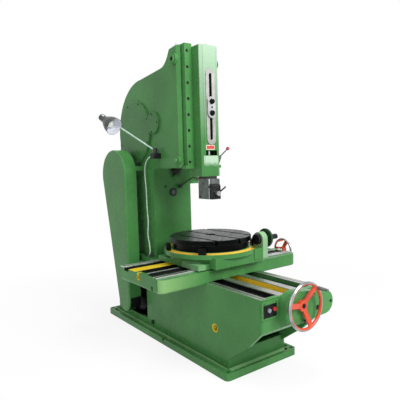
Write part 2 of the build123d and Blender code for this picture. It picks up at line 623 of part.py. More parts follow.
# Belt guard: one sheet shell, open toward the column, on brackets
guard_out, guard_in, sheet = -300.0, -bh, 3.0
outer = hull((drive_y, drive_z), 179, (motor_y, motor_z), 80)
inner = hull((drive_y, drive_z), 179 - sheet, (motor_y, motor_z), 80 - sheet)
guard = sheet_x(outer, guard_out, guard_in)
guard = fillet(guard.edges().group_by(Axis.X)[0], 10)
guard -= sheet_x(inner, guard_out + sheet, guard_in + 1)
for a in (45, 165):
    ca, sa = math.cos(math.radians(a)), math.sin(math.radians(a))
    where = Pos(0, drive_y + 177.5 * ca, drive_z + 177.5 * sa) * Rot(a, 0, 0)
    tab = Pos((guard_in - 20 - ch) / 2, 0, 0) * Box(-guard_in + 20 - ch, sheet, 30)
    foot = Pos(-ch - 2, -12, 0) * Box(4, 26, 30)
    guard += where * (tab + foot)
add("belt_guard", guard)

# Saddle with ground cross ways, screw trough and nut
nut_y = (saddle_y0 + saddle_y1) / 2
saddle = block(saddle_x0, saddle_x1, saddle_y0, saddle_y1, saddle_low, saddle_deck)
nose = [e for e in saddle.edges().filter_by(Axis.Z) if e.center().Y < saddle_y0 + 1]
saddle = fillet(nose, 40)
lip = [e for e in saddle.edges().filter_by(Axis.Y) if e.center().Z < saddle_low + 1]
saddle = fillet(lip, 14)
saddle -= block(-bh - 1, bh + 1, saddle_y0 - 1, saddle_y1 + 1, saddle_low - 1, bed_top + run_gap)
saddle += block(-30, 30, nut_y - 40, nut_y + 40, screw_z - 26, bed_top + 10)
saddle -= rod_y(0, screw_z, long_screw_d / 2 + run_gap, nut_y - 41, nut_y + 41)
for sx, far_x in ((-1, saddle_x0), (1, saddle_x1)):
    saddle -= block(far_x + sx, sx * (bh + 1), saddle_y0 + 75, saddle_y0 + 98,
                    saddle_low - 1, saddle_deck - 46)
trough_y0, trough_y1 = cross_y - 22, cross_y + 68
saddle -= block(saddle_x0 + 31, saddle_x1 - 40, trough_y0, trough_y1, saddle_deck - 44, saddle_deck + 1)
saddle -= rod_x(cross_y + 33, saddle_deck - 27, 17, saddle_x0 - 1, saddle_x0 + 40)
saddle -= block(saddle_x0 - 1, saddle_x0 + 40, cross_y + 25, cross_y + 41, saddle_deck - 27, saddle_deck + 1)
saddle -= block(saddle_x0 + 14, saddle_x1 - 14, saddle_y0 + 78, trough_y0 - 19,
                saddle_deck - 6, saddle_deck + 1)
saddle -= block(saddle_x0 - 1, saddle_x1 + 1, saddle_y1 - 100, saddle_y1 - 46,
                saddle_deck - 16, saddle_deck + 1)
nozzle = rod_x(cross_y, cross_z, 26, saddle_x1 - 1, saddle_x1 + 24)
saddle += nozzle - block(0, saddle_x1 + 60, cross_y - 40, cross_y + 40, saddle_deck, saddle_deck + 60)
saddle -= rod_x(cross_y, cross_z, cross_screw_d / 2 + run_gap, saddle_x0 + 16, saddle_x1 + 30)
add("saddle_casting", saddle)
way_z = saddle_deck + way_t
loose("cross_ways", [block(saddle_x0 + 4, saddle_x1, saddle_y0 + 41, saddle_y0 + 78, saddle_deck, way_z),
                     block(saddle_x0, saddle_x1, saddle_y1 - 46, saddle_y1, saddle_deck, way_z)])
add("cross_feed_screw", rod_x(cross_y, cross_z, cross_screw_d / 2, saddle_x0 + 18, saddle_x1 + 55),
    rod_x(cross_y, cross_z, 9, saddle_x1 + 50, cross_wheel_x + 20))
wheel = handwheel(cross_wheel_r, 7, 3, 20, 30, 9, 90)
side = handwheel(cross_wheel_r, 7, 3, 20, 30, 9, 90)
turned = Pos(cross_wheel_x, cross_y, cross_z) * Rot(0, 90, 0)
grip_c = cross_wheel_r - 7
side += Rot(0, 0, 140) * Pos(grip_c, 0, 26) * Cylinder(9, 44)
add("cross_handwheel", turned * side)

# Carriage: slab, round body with a coolant dish, wheel chamber and worm bore
slide_z = way_z + run_gap
table_r = table_d / 2
carriage = block(-table_r, table_r, saddle_y0 + 6, saddle_y1 - 21, slide_z, seat_z - 56)
carriage += rod_z(0, table_y, ring_r - 30, seat_z - 68, seat_z - 28)
carriage += rod_z(0, table_y, ring_r, seat_z - 29, seat_z)
carriage += block(house_x - 70, house_x, worm_y - 42, worm_y + 42, seat_z - 68, seat_z - 4)
carriage += block(-170, house_x, worm_y - 38, worm_y + 38, slide_z + 4, seat_z - 20)
dish_r0, dish_r1 = table_r + 2, ring_r - 6
carriage -= (rod_z(0, table_y, ring_r + 1, seat_z - 4, seat_z + 1)
             - rod_z(0, table_y, dish_r0, seat_z - 5, seat_z + 2))
carriage -= block(house_x - 80, house_x + 10, worm_y - 60, worm_y + 60, seat_z - 4, seat_z + 1) \
    - rod_z(0, table_y, dish_r0, seat_z - 5, seat_z + 2)
carriage -= (rod_z(0, table_y, dish_r1, seat_z - 12, seat_z)
             - rod_z(0, table_y, dish_r0, seat_z - 13, seat_z + 1))
wheel_r = table_r - 51
carriage -= rod_z(0, table_y, wheel_r + 7, seat_z - 64, seat_z + 1)
hub_r = 59.7
carriage -= rod_z(0, table_y, hub_r + run_gap, slide_z - 1, seat_z - 63)
worm_r = abs(worm_y - table_y) - wheel_r - 1
carriage -= rod_x(worm_y, worm_z, worm_r + 2.5, -155, house_x - 25)
carriage -= rod_x(worm_y, worm_z, 18 + run_gap, house_x - 26, house_x + 1)
carriage -= block(house_x, house_x + 40, worm_y - 42, worm_y + 42, seat_z - 68, seat_z + 1)
carriage += block(-95, 95, cross_y - 20, cross_y + 20, cross_z - 22, slide_z + 1)
carriage -= rod_x(cross_y, cross_z, cross_screw_d / 2 + run_gap, -96, 96)
add("carriage_casting", carriage)
add("worm_shaft", rod_x(worm_y, worm_z, worm_r, -150, 150), rod_x(worm_y, worm_z, 18, 149, house_x + 32))
house = hull((worm_y, index_z), 42, (worm_y, worm_z + 18), 41.9)
house += Pos(worm_y, worm_z - 2) * Rectangle(83.8, 44)
housing = sheet_x(house, house_x, house_x + 40)
housing -= rod_x(worm_y, worm_z, 18 + run_gap, house_x - 1, house_x + 34)
housing -= rod_x(worm_y, index_z, 16 + run_gap, house_x - 1, house_x + 41)
add("worm_housing", housing)
add("index_shaft", rod_x(worm_y, index_z, 32, house_x - 20, house_x - 0.5),
    rod_x(worm_y, index_z, 16, house_x - 1, house_x + 155))
disc = rod_x(worm_y, index_z, 58, house_x + 58, house_x + 70)
disc += rod_x(worm_y, index_z, 28, house_x + 50, house_x + 95)
add("index_disc", disc - rod_x(worm_y, index_z, 16, house_x + 40, house_x + 110))
clamps = []
for a in (156, 222, 330, 60):
    jaw = Pos((dish_r0 + dish_r1) / 2 - 1, 0, seat_z - 12 + 22) * Box(dish_r1 - dish_r0 - 3, 44, 44)
    clamps.append(Pos(0, table_y, 0) * Rot(0, 0, a) * jaw)
loose("table_clamps", clamps)

# Turntable with T-slots, hub and worm wheel
table_z0 = seat_z + run_gap
table_z1 = table_z0 + table_t
table = rod_z(0, 0, table_r, table_z0, table_z1)
table = fillet(table.edges().sort_by(Axis.Z)[-1], 3)
table -= (rod_z(0, 0, table_r + 1, table_z0 - 1, table_z1 - table_lip)
          - rod_z(0, 0, table_r - 15, table_z0 - 1, table_z1 - table_lip))
for i in (-1, 0, 1):
    x = i * slot_pitch
    table -= block(x - slot_w / 2, x + slot_w / 2, -table_d, table_d, table_z1 - slot_depth, table_z1 + 1)
    table -= block(x - slot_head_w / 2, x + slot_head_w / 2, -table_d, table_d,
                   table_z1 - slot_depth, table_z1 - slot_depth + 14)
table += rod_z(0, 0, hub_r, seat_z - 84, table_z0 + 1)
table -= rod_z(0, 0, 30, seat_z - 85, table_z1 + 1)
add("rotary_table", Pos(0, table_y, 0) * Rot(0, 0, slot_turn) * table)
throat = Pos(0, 0, worm_z) * Torus(abs(worm_y - table_y), worm_r + 1)
hub_bore = rod_z(0, 0, hub_r, worm_z - 40, table_z1)
worm_wheel = rod_z(0, 0, wheel_r + 5, worm_z - 19, worm_z + 19) - throat - hub_bore
worm_wheel += rod_z(0, 0, 120, worm_z + 18, table_z0) - hub_bore
add("worm_wheel", Pos(0, table_y, 0) * worm_wheel)

# Lamp on the column side, with its cable and gland
base_x = lamp_post.X
lamp_base = block(base_x - 26, -ch, 53, 97, lamp_post.Z - 34, lamp_post.Z)
lamp_base += rod_z(base_x, lamp_post.Y, 8, lamp_post.Z - 1, lamp_post.Z + 26)
cable_x = base_x + 6
cable_z = lamp_post.Z - 12
lamp_base -= rod_y(cable_x, cable_z, cable_d / 2, 88, 98)
add("lamp_base", lamp_base)
tilt_axis = Vector(lamp_dir.Y, -lamp_dir.X, 0).normalized()
tilt_at = lamp_neck + lamp_dir * 20
eye = tilt_at - tilt_axis * 31
arm_from = Vector(base_x, lamp_post.Y, lamp_post.Z + 18)
lamp_arm = rod_z(base_x, lamp_post.Y, 14, lamp_post.Z + 0.4, lamp_post.Z + 34)
lamp_arm += rod(tuple(arm_from), tuple(eye), 5)
lamp_arm += rod(tuple(tilt_at - tilt_axis * 23), tuple(tilt_at - tilt_axis * 39), 12)
lamp_arm -= rod_z(base_x, lamp_post.Y, 8 + run_gap, lamp_post.Z - 1, lamp_post.Z + 27)
lamp_arm += rod(tuple(tilt_at - tilt_axis * 12), tuple(tilt_at - tilt_axis * 25), 5)
add("lamp_arm", lamp_arm)
neck_r = lamp_mouth_r * 0.39
shell = poly((neck_r - 2, 0), (neck_r, 0), (neck_r + 1, 30), (neck_r + 5, 48), (lamp_mouth_r * 0.68, 66),
             (lamp_mouth_r * 0.92, 98), (lamp_mouth_r, lamp_len), (lamp_mouth_r - 2, lamp_len),
             (lamp_mouth_r * 0.92 - 2, 99), (lamp_mouth_r * 0.68 - 2, 68), (neck_r + 2.5, 50),
             (neck_r, 46), (0, 46), (0, 36),
             (neck_r - 1, 34))
facing = Plane(origin=lamp_neck, x_dir=tilt_axis, z_dir=lamp_dir).location
shade = facing * revolve(Plane.XZ * shell, Axis.Z)
shade -= rod(tuple(tilt_at - tilt_axis * 11), tuple(tilt_at - tilt_axis * 40), 5 + run_gap)
shade -= facing * Pos(8, -20, 18) * Box(11, 30, 22)
add("lamp_shade", shade)
add("lamp_bulb", facing * (Pos(0, 0, 84) * Sphere(24) + Pos(0, 0, 57) * Cylinder(13, 22)))

gland_y, gland_z = col_front + 43, bed_top + 38
add("cable_gland", block(cable_x - 14, -ch, gland_y - 15, gland_y + 15, bed_top + 36, gland_z + 22),
    rod_z(cable_x, gland_y, 9, gland_z + 20, gland_z + 34))
NODES["cable_gland"] = NODES["cable_gland"] - rod_z(cable_x, gland_y, cable_d / 2, gland_z + 18, gland_z + 40)
drop = (cable_z - gland_z - 18) / 670
sway = [(150, 0), (222, 42), (236, 120), (219, 228), (222, 340), (207, 446), (226, 540), (gland_y, 612)]
route = [(90, cable_z)] + [(y, cable_z - fall * drop) for y, fall in sway] + [(gland_y, gland_z + 18)]
radii = []
for (y0, z0), (y1, z1), (y2, z2) in zip(route, route[1:], route[2:]):
    run = min(math.hypot(y1 - y0, z1 - z0), math.hypot(y2 - y1, z2 - z1))
    turn = abs(math.atan2(z2 - z1, y2 - y1) - math.atan2(z1 - z0, y1 - y0))
    turn = min(turn, 2 * math.pi - turn)
    radii.append(0.45 * run / math.tan(turn / 2))
print("cable bend radii", [round(r, 1) for r in radii], "for diameter", cable_d)
path = FilletPolyline(*[(cable_x, y, z) for y, z in route], radius=radii)
cable = sweep(Plane(origin=path @ 0, z_dir=path % 0) * Circle(cable_d / 2), path=path)
section = math.pi * cable_d ** 2 / 4
print("cable length", round(path.length, 1), "volume ratio", round(cable.volume / (section * path.length), 4))
add("lamp_cable", cable)
add("bed_casting", bed)
add("column_casting", column)

os.makedirs("parts", exist_ok=True)
for name, shape in sorted(NODES.items()):
    export_step(shape, "parts/" + name + ".step")
    print(name, len(shape.solids()), "solids", round(shape.volume / 1000), "cm3")
print(len(NODES), "nodes")
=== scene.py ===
# %% [markdown]
# # A vertical slotting machine, dressed in Blender
#
# The machine is a shaper stood on end: a ram slides up and down in a guide at the front of a tall
# casting, and the work turns and slides under it on a round table. Its solid shapes come from CAD
# and are loaded here as a fixed frame, in metres. Blender adds what a solid cannot hold: paint,
# ground steel, worn edges, a cable that hangs, and the small fittings a hand would find.

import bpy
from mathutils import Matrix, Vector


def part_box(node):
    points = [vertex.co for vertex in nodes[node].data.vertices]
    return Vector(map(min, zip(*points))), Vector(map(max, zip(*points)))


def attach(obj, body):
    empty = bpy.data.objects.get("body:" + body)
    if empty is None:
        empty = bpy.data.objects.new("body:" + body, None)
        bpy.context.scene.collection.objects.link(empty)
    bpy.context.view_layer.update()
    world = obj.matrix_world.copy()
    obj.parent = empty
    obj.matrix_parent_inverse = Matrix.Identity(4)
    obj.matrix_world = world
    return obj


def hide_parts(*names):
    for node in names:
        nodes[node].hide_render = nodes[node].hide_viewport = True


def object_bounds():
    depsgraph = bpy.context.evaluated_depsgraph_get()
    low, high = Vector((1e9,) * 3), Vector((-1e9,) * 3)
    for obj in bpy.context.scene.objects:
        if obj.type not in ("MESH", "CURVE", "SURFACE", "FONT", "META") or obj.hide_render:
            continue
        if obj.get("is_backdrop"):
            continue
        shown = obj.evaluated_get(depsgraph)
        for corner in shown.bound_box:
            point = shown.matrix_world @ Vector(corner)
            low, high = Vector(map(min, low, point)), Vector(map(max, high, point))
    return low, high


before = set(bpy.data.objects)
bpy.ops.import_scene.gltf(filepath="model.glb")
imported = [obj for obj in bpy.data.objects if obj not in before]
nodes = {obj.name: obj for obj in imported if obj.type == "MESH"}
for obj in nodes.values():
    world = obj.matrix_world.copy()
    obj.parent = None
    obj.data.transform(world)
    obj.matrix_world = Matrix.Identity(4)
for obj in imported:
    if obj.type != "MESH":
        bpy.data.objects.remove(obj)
cad_box = [list(corner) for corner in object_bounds()]

import math

import bmesh
import bpy
from mathutils import Matrix, Vector

scene = bpy.context.scene
print("nodes", len(nodes), "box", [[round(v, 3) for v in corner] for corner in cad_box])

# %% [markdown]
# ## The camera
#
# A photograph fixes seven numbers: where the lens stood, which way it looked, how much it was
# tipped and how long it was. They could be dialled in by eye, but here they were solved from the
# edges of the base and the table, so the view only has to be written down. Blender's camera looks
# along its own -Z with +Y up, so its matrix is built from right, up and back.

# %% Camera
SENSOR_WIDE = 36.0
PICTURE_PIXELS = 400
FOCAL_PIXELS = 429.26
EYE_AT = (-1.6132, -2.3444, 1.0963)


def camera_matrix(place, yaw, pitch, roll):
    yaw, pitch, roll = (math.radians(a) for a in (yaw, pitch, roll))
    flat = math.cos(pitch)
    ahead = Vector((math.sin(yaw) * flat, math.cos(yaw) * flat, -math.sin(pitch)))
    level = Vector((math.cos(yaw), -math.sin(yaw), 0))
    down = ahead.cross(level)
    right = level * math.cos(roll) + down * math.sin(roll)
    down = down * math.cos(roll) - level * math.sin(roll)
    turn = Matrix((right, -down, -ahead)).transposed()
    return Matrix.Translation(place) @ turn.to_4x4()


lens = bpy.data.cameras.new("photo_lens")
lens.sensor_fit = "HORIZONTAL"
lens.sensor_width = SENSOR_WIDE
lens.lens = SENSOR_WIDE * FOCAL_PIXELS / PICTURE_PIXELS
camera = bpy.data.objects.new("photo_camera", lens)
scene.collection.objects.link(camera)
camera.matrix_world = camera_matrix(EYE_AT, yaw=36.42, pitch=4.23, roll=1.59)
scene.camera = camera
scene.view_settings.view_transform = "Standard"
print("camera at", [round(v, 3) for v in camera.location], "lens", round(lens.lens, 2), "mm")

# %% [markdown]
# ## The lamp cable
#
# A round rubber lead leaves the lamp's foot towards the back, turns down and hangs along the column
# in a slow wander to a gland. A mesh tube would need its own rings and normals. A curve needs only
# the points of its route: as a NURBS line of order 3 it rounds every corner by itself. The thickness
# is the bevel depth times each point's radius. Blender adds that radius to a curve's box, so the
# points carry the real 4 mm and the depth is 1. The other way round the box grows by a metre.

# %% Lamp cable
cable_side = -0.172
cable_radius = 0.004
cable_route = [(0.090, 1.188), (0.150, 1.188), (0.222, 1.146), (0.236, 1.068), (0.219, 0.960),
               (0.222, 0.848), (0.207, 0.742), (0.226, 0.648), (0.198, 0.576), (0.198, 0.518)]
cable_line = bpy.data.curves.new("lamp_lead", "CURVE")
cable_line.dimensions = "3D"
spline = cable_line.splines.new("NURBS")
spline.points.add(len(cable_route) - 1)
for point, (y, z) in zip(spline.points, cable_route):
    point.co = (cable_side, y, z, 1.0)
    point.radius = cable_radius
spline.order_u = 3
spline.use_endpoint_u = True
spline.resolution_u = 10
cable_line.bevel_depth = 1.0
cable_line.bevel_resolution = 5
cable_line.use_fill_caps = True
lamp_lead = bpy.data.objects.new("lamp_lead", cable_line)
scene.collection.objects.link(lamp_lead)
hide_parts("lamp_cable")
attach(lamp_lead, "frame")
print("cable points", len(cable_route))

# %% [markdown]
# ## Building finishes out of nodes
#
# A finish is a small tree of nodes. Writing each node by hand takes five lines, so one helper adds
# a node, sets its options and either links a socket or fills in a value. Colours are written as
# the 0 to 255 numbers a screen shows and turned into the linear numbers that light adds up in.

# %% Node helpers
def tint(red, green, blue):
    return tuple((c / 255 / 12.92 if c <= 10 else ((c / 255 + 0.055) / 1.055) ** 2.4)
                 for c in (red, green, blue)) + (1.0,)


def scaled(colour, by, lift=0.0):
    return tuple(min(1.0, c * by + lift) for c in colour[:3]) + (1.0,)


def put(tree, kind, sockets=None, **options):
    made = tree.nodes.new("ShaderNode" + kind)
    for name, value in options.items():
        setattr(made, name, value)
    for name, value in (sockets or {}).items():
        if isinstance(value, bpy.types.NodeSocket):
            tree.links.new(value, made.inputs[name])
        else:
            made.inputs[name].default_value = value
    return made


def start_finish(name):
    finish = bpy.data.materials.new(name)
    finish.use_nodes = True
    finish.node_tree.nodes.clear()
    return finish, finish.node_tree


def surface(tree, sockets):
    shader = put(tree, "BsdfPrincipled", sockets)
    put(tree, "OutputMaterial", {"Surface": shader.outputs["BSDF"]})


print("white is", tint(255, 255, 255)[:3], "mid grey is", round(tint(128, 128, 128)[0], 3))

# %% [markdown]
# Sums are nodes too. The Math and Vector Math nodes number their inputs, so the values can simply be
# listed. The Mix node keeps a set of sockets for each kind of data, and the colours are at 6 and 7,
# with their result at 2.

# %% Sums of nodes
MIX_AMOUNT, MIX_FIRST, MIX_SECOND = 0, 6, 7
MIX_RESULT = 2


def math_node(tree, operation, *values):
    return put(tree, "Math", dict(enumerate(values)), operation=operation).outputs[0]


def times(tree, first, second):
    return math_node(tree, "MULTIPLY", first, second)


def vector_node(tree, operation, *values):
    return put(tree, "VectorMath", dict(enumerate(values)), operation=operation).outputs


def mix_colour(tree, amount, first, second):
    sockets = {MIX_AMOUNT: amount, MIX_FIRST: first, MIX_SECOND: second}
    return put(tree, "Mix", sockets, data_type="RGBA").outputs[MIX_RESULT]


def steps(tree, amount, low, high, from_low=0.0, from_high=1.0):
    made = put(tree, "MapRange", {"Value": amount, "From Min": from_low, "From Max": from_high,
                                  "To Min": low, "To Max": high})
    return made.outputs["Result"]


print("steps maps one range to another and holds at both ends")

# %% [markdown]
# Object coordinates are the best ruler for these pieces: every frame node sits at the origin with
# its place in its mesh, so a point reads its true position in metres and keeps it when the piece
# moves. Noise read at that position never stretches, and a band or a box of paint can be placed
# with the same numbers as the CAD.

# %% Patterns read from position
X, Y, Z = range(3)


def centre_of(node):
    low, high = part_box(node)
    return (low + high) / 2


def position(tree):
    return put(tree, "TexCoord").outputs["Object"]


def axis_value(tree, axis):
    return put(tree, "SeparateXYZ", {"Vector": position(tree)}).outputs[axis]


def cloud(tree, scale, detail=3.0, stretch=(1, 1, 1)):
    spot = put(tree, "Mapping", {"Vector": position(tree), "Scale": stretch})
    made = put(tree, "TexNoise", {"Vector": spot.outputs["Vector"], "Scale": scale, "Detail": detail})
    return made.outputs["Fac"]


def wave(tree, value, pitch):
    return math_node(tree, "SINE", times(tree, value, 2 * math.pi / pitch))


print("a cloud of scale 100 repeats about every", 1000 / 100, "mm")

# %% [markdown]
# Paint thins over a corner and tools rub it there. Blender can find a corner while it shades: the
# Bevel node returns a normal rounded over a chosen radius, and where that differs from the true
# normal there is an edge. Broken up with noise, the mask reads as wear and not as an outline.
# Unevenness is stacked in the same way, each layer a pattern with its strength and its depth.

# %% Worn edges and uneven surfaces
def edge_mask(tree, radius, rough_scale):
    soft = put(tree, "Bevel", {"Radius": radius}, samples=4).outputs["Normal"]
    true = put(tree, "NewGeometry").outputs["Normal"]
    facing = vector_node(tree, "DOT_PRODUCT", soft, true)["Value"]
    bare = steps(tree, facing, 1.0, 0.0, 0.80, 0.99)
    return times(tree, bare, steps(tree, cloud(tree, rough_scale), 0.0, 1.0, 0.40, 0.62))


def wear(tree, shade, bare, radius, amount, rough_scale=60.0):
    return mix_colour(tree, times(tree, edge_mask(tree, radius, rough_scale), amount), shade, bare)


def bumps(tree, layers):
    normal = None
    for pattern, strength, depth in layers:
        sockets = {"Height": pattern, "Strength": strength, "Distance": depth}
        if normal is not None:
            sockets["Normal"] = normal
        normal = put(tree, "Bump", sockets).outputs["Normal"]
    return normal


print("edge wear is looked for within 1 to 3 mm of a corner")

# %% [markdown]
# ## Green enamel
#
# The castings are filled, rubbed down and sprayed with a glossy mid green. Up close such paint has
# three things a flat colour lacks: slow changes of shade where the coat is thicker, a fine orange
# peel in the gloss, and a broad waviness from the filler under it, which bends every reflection.
# Each is one noise at its own scale. Troughs and wells are brushed in a mustard yellow, so the
# finish also takes a list of places where a second colour shows: boxes, pairs of boxes either side
# of the middle, and rings about an axis.

# %% Masks for a second paint
def between(tree, value, low, high):
    return math_node(tree, "COMPARE", value, (low + high) / 2, (high - low) / 2)


def in_box(tree, low, high):
    axes = put(tree, "SeparateXYZ", {"Vector": position(tree)}).outputs
    inside = None
    for axis, a, b in zip(axes, low, high):
        near = between(tree, axis, a, b)
        inside = near if inside is None else times(tree, inside, near)
    return inside


def box_pair(tree, axis, at, half, low, high):
    boxes = []
    for side in (-1, 1):
        start, end = list(low), list(high)
        start.insert(axis, side * at - half)
        end.insert(axis, side * at + half)
        boxes.append(in_box(tree, start, end))
    return boxes


def off_axis(tree, centre, along):
    keep = [0 if i == along else 1 for i in range(3)]
    shifted = vector_node(tree, "SUBTRACT", position(tree), centre)["Vector"]
    flat = vector_node(tree, "MULTIPLY", shifted, keep)["Vector"]
    return vector_node(tree, "LENGTH", flat)["Value"]


def in_ring(tree, centre, along, inner, outer, low, high):
    ring = between(tree, off_axis(tree, centre, along), inner, outer)
    return times(tree, ring, between(tree, axis_value(tree, along), low, high))


def any_of(tree, masks):
    whole = masks[0]
    for mask in masks[1:]:
        whole = math_node(tree, "MAXIMUM", whole, mask)
    return whole


def paint_over(tree, shade, places, colour):
    if not places:
        return shade
    return mix_colour(tree, any_of(tree, places(tree)), shade, colour)


print("masks: box, pair of boxes and ring")

# %% Enamel
GREEN = tint(71, 130, 70)
GREEN_THIN = tint(128, 182, 122)
MUSTARD = tint(230, 196, 42)
# Near black for oil and soot, and also painted shade where it fills pockets, hollows and gaps that lie in
# shadow.
SOOT_AND_SHADE = tint(22, 24, 24)


def enamel(name, colour=GREEN, patches=(), gloss=0.27):
    finish, tree = start_finish(name)
    deep = scaled(colour, 0.84)
    light = scaled(colour, 1.12)
    shade = mix_colour(tree, steps(tree, cloud(tree, 2.6), 0.0, 1.0, 0.35, 0.65), deep, light)
    grime = steps(tree, cloud(tree, 17.0, 4.0), 0.0, 0.35, 0.56, 0.78)
    shade = mix_colour(tree, grime, shade, deep)
    shade = wear(tree, shade, GREEN_THIN, 0.003, 0.6)
    for second, places in patches:
        shade = paint_over(tree, shade, places, second)
    rough = steps(tree, cloud(tree, 24.0), gloss - 0.06, gloss + 0.09, 0.3, 0.7)
    filler = (cloud(tree, 7.0, 2.0), 0.12, 0.004)
    orange_peel = (cloud(tree, 300.0, 1.0), 0.05, 0.0005)
    surface(tree, {"Base Color": shade, "Roughness": rough, "Normal": bumps(tree, [filler, orange_peel]),
                   "Specular IOR Level": 0.14, "Coat Weight": 0.05, "Coat Roughness": 0.10})
    return finish


casting_green = enamel("casting_green")
# The crank cover is a darker green as painted shade.
cover_shaded_green = enamel("cover_shaded_green", tint(65, 117, 64))
strip_green = enamel("strip_green", gloss=0.26)
# The worm housing is a pale green as a painted highlight.
worm_highlight_green = enamel("worm_highlight_green", tint(138, 180, 136))
print("enamel", [round(c, 3) for c in GREEN[:3]])

# %% [markdown]
# The bed carries its feed screw in a trough, and the hole through its nose takes a lifting bar. Both
# are painted mustard so that dirt shows. Beside the ways the deck is painted black, partly for old oil
# and partly as painted shade in the channels there. The pocket behind the belt guard and the guard's
# lower end are painted black as painted shade. Each place is a box with the numbers of the CAD, a hair
# larger than the pocket it stands for.

# %% Paint on the bed and the belt guard
DECK = 0.4605
screw_trough = ((-0.041, -0.90, 0.370), (0.041, 0.20, DECK))
guard_pocket = ((-0.2035, 0.280, 0.060), (-0.100, 0.62, 0.0815))
guard_foot = ((-0.2880, 0.270, 0.060), (-0.200, 0.366, 0.2160))
bar_hole = (0.0, -0.547, 0.227)
bar_radius = 0.0235


def bar_bore(tree):
    return in_ring(tree, bar_hole, X, inner=0.0, outer=bar_radius, low=-0.22, high=0.22)


def oily_and_shaded_deck(tree):
    return box_pair(tree, X, at=0.125, half=0.040, low=(-0.895, 0.430), high=(0.22, DECK))


# The black beside the ways is partly oil and partly painted shade in the channels. The black in the guard
# pocket is painted shade.
bed_green = enamel("bed_green", patches=[
    (MUSTARD, lambda t: [in_box(t, *screw_trough), bar_bore(t)]),
    (SOOT_AND_SHADE, lambda t: oily_and_shaded_deck(t) + [in_box(t, *guard_pocket)])])
# The black at the guard's lower end is painted shade.
guard_green = enamel("guard_green", patches=[(SOOT_AND_SHADE, lambda t: [in_box(t, *guard_foot)])])
print("second paints on", bed_green.name, guard_green.name)

# %% [markdown]
# The saddle has a mustard land and drain beside its own screw, and black oil in the trough and the
# recesses. Its front is painted paler at the left corner, a painted highlight, and the paleness fades
# along the front.

# %% Paint on the saddle
saddle_top = 0.5232
highlight_front = ((-0.502, -0.480, 0.440), (0.540, -0.4630, 0.5225))
highlight_corner = ((-0.4995, -0.480, 0.440), (-0.420, -0.4350, 0.5225))
cross_trough = ((-0.4705, -0.393, 0.470), (0.500, -0.1995, 0.5245))
front_recess = ((-0.487, -0.393, 0.500), (0.527, -0.309, saddle_top))
rear_recess = ((-0.5005, -0.1205, 0.500), (0.5395, -0.0640, saddle_top))
saddle_land = ((-0.4995, -0.1995, saddle_top), (0.5390, -0.1210, 0.5250))
saddle_drain = ((-0.5005, -0.2530, 0.470), (-0.4700, -0.2170, 0.5225))


def saddle_painted_highlight(tree):
    fade = steps(tree, axis_value(tree, X), 0.92, 0.0, -0.50, -0.21)
    return times(tree, any_of(tree, [in_box(tree, *highlight_front), in_box(tree, *highlight_corner)]), fade)


# The pale front of the saddle is a painted highlight.
saddle_green = enamel("saddle_green", patches=[
    (tint(136, 180, 116), lambda t: [saddle_painted_highlight(t)]),
    (SOOT_AND_SHADE, lambda t: [in_box(t, *place) for place in (cross_trough, front_recess, rear_recess)]),
    (MUSTARD, lambda t: [in_box(t, *place) for place in (saddle_land, saddle_drain)])])
print("second paints on", saddle_green.name)

# %% [markdown]
# The plinth walls in the base's oil moat are painted pale, a painted highlight along them. Under the
# head the column is painted nearly black, a painted shadow, darkest in the middle and less around it.
# The carriage has a round gutter for oil under the table, and its left front corner is painted paler,
# a painted highlight.

# %% Paint on the base, the column and the carriage
TABLE_AT = centre_of("rotary_table")
under_head = ((-0.08, 0.10, 1.02), (0.10, 0.165, 1.0985))
shadow_centre = (0.026, 0.0, 1.099)
carriage_corner_highlight = ((-0.2520, -0.470, 0.526), (-0.200, -0.300, 0.5665))


def plinth_painted_highlight(tree):
    sides = box_pair(tree, X, at=0.218, half=0.0015, low=(-0.6625, 0.0185), high=(0.6625, 0.0398))
    ends = box_pair(tree, Y, at=0.661, half=0.0015, low=(-0.2195, 0.0185), high=(0.2195, 0.0398))
    return sides + ends


def shadow_under_head(tree):
    spread = steps(tree, off_axis(tree, shadow_centre, Y), 0.98, 0.0, 0.032, 0.066)
    return times(tree, in_box(tree, *under_head), spread)


def oil_gutter(tree):
    return in_ring(tree, TABLE_AT, Z, inner=0.250, outer=0.2815, low=0.600, high=0.6175)


# The pale plinth walls are a painted highlight.
base_green = enamel("base_green", patches=[(tint(146, 200, 138), plinth_painted_highlight)])
# The nearly black patch under the head is a painted shadow.
column_green = enamel("column_green", patches=[(tint(6, 9, 7), lambda t: [shadow_under_head(t)])])
# The carriage's round gutter is yellow paint. Its corner patch is a painted highlight.
carriage_green = enamel("carriage_green", patches=[
    (tint(226, 196, 84), lambda t: [oil_gutter(t)]),
    (tint(112, 162, 110), lambda t: [in_box(t, *carriage_corner_highlight)])])
print("second paints on", base_green.name, column_green.name, carriage_green.name)

# %% [markdown]
# The ram is hollow, and what shows through its stroke slot and its small window is its inside, painted
# black as painted shade. Below the window a pale patch is a painted reflection, and up its front the
# paint grows paler as a painted highlight. The button plate is let into a painted rim.

# %% Paint that changes on the ram and the panel
ram_face = ((-0.069, -0.300, 1.20), (0.069, -0.272, 1.90))
ram_reflection_patch = ((-0.062, -0.300, 1.085), (0.066, -0.285, 1.170))
ram_inside = ((-0.0495, -0.2885, 1.12), (0.0495, -0.06, 1.82))
panel_plate = ((-0.206, -0.9165, 0.373), (-0.113, -0.90, 0.437))


def ram_painted_highlight(tree):
    return times(tree, in_box(tree, *ram_face), steps(tree, axis_value(tree, Z), 0.0, 0.52, 1.25, 1.87))


def ram_painted_reflection(tree):
    ragged = math_node(tree, "ADD", axis_value(tree, Z), times(tree, cloud(tree, 34.0), 0.035))
    return times(tree, in_box(tree, *ram_reflection_patch), steps(tree, ragged, 0.0, 0.72, 1.124, 1.154))


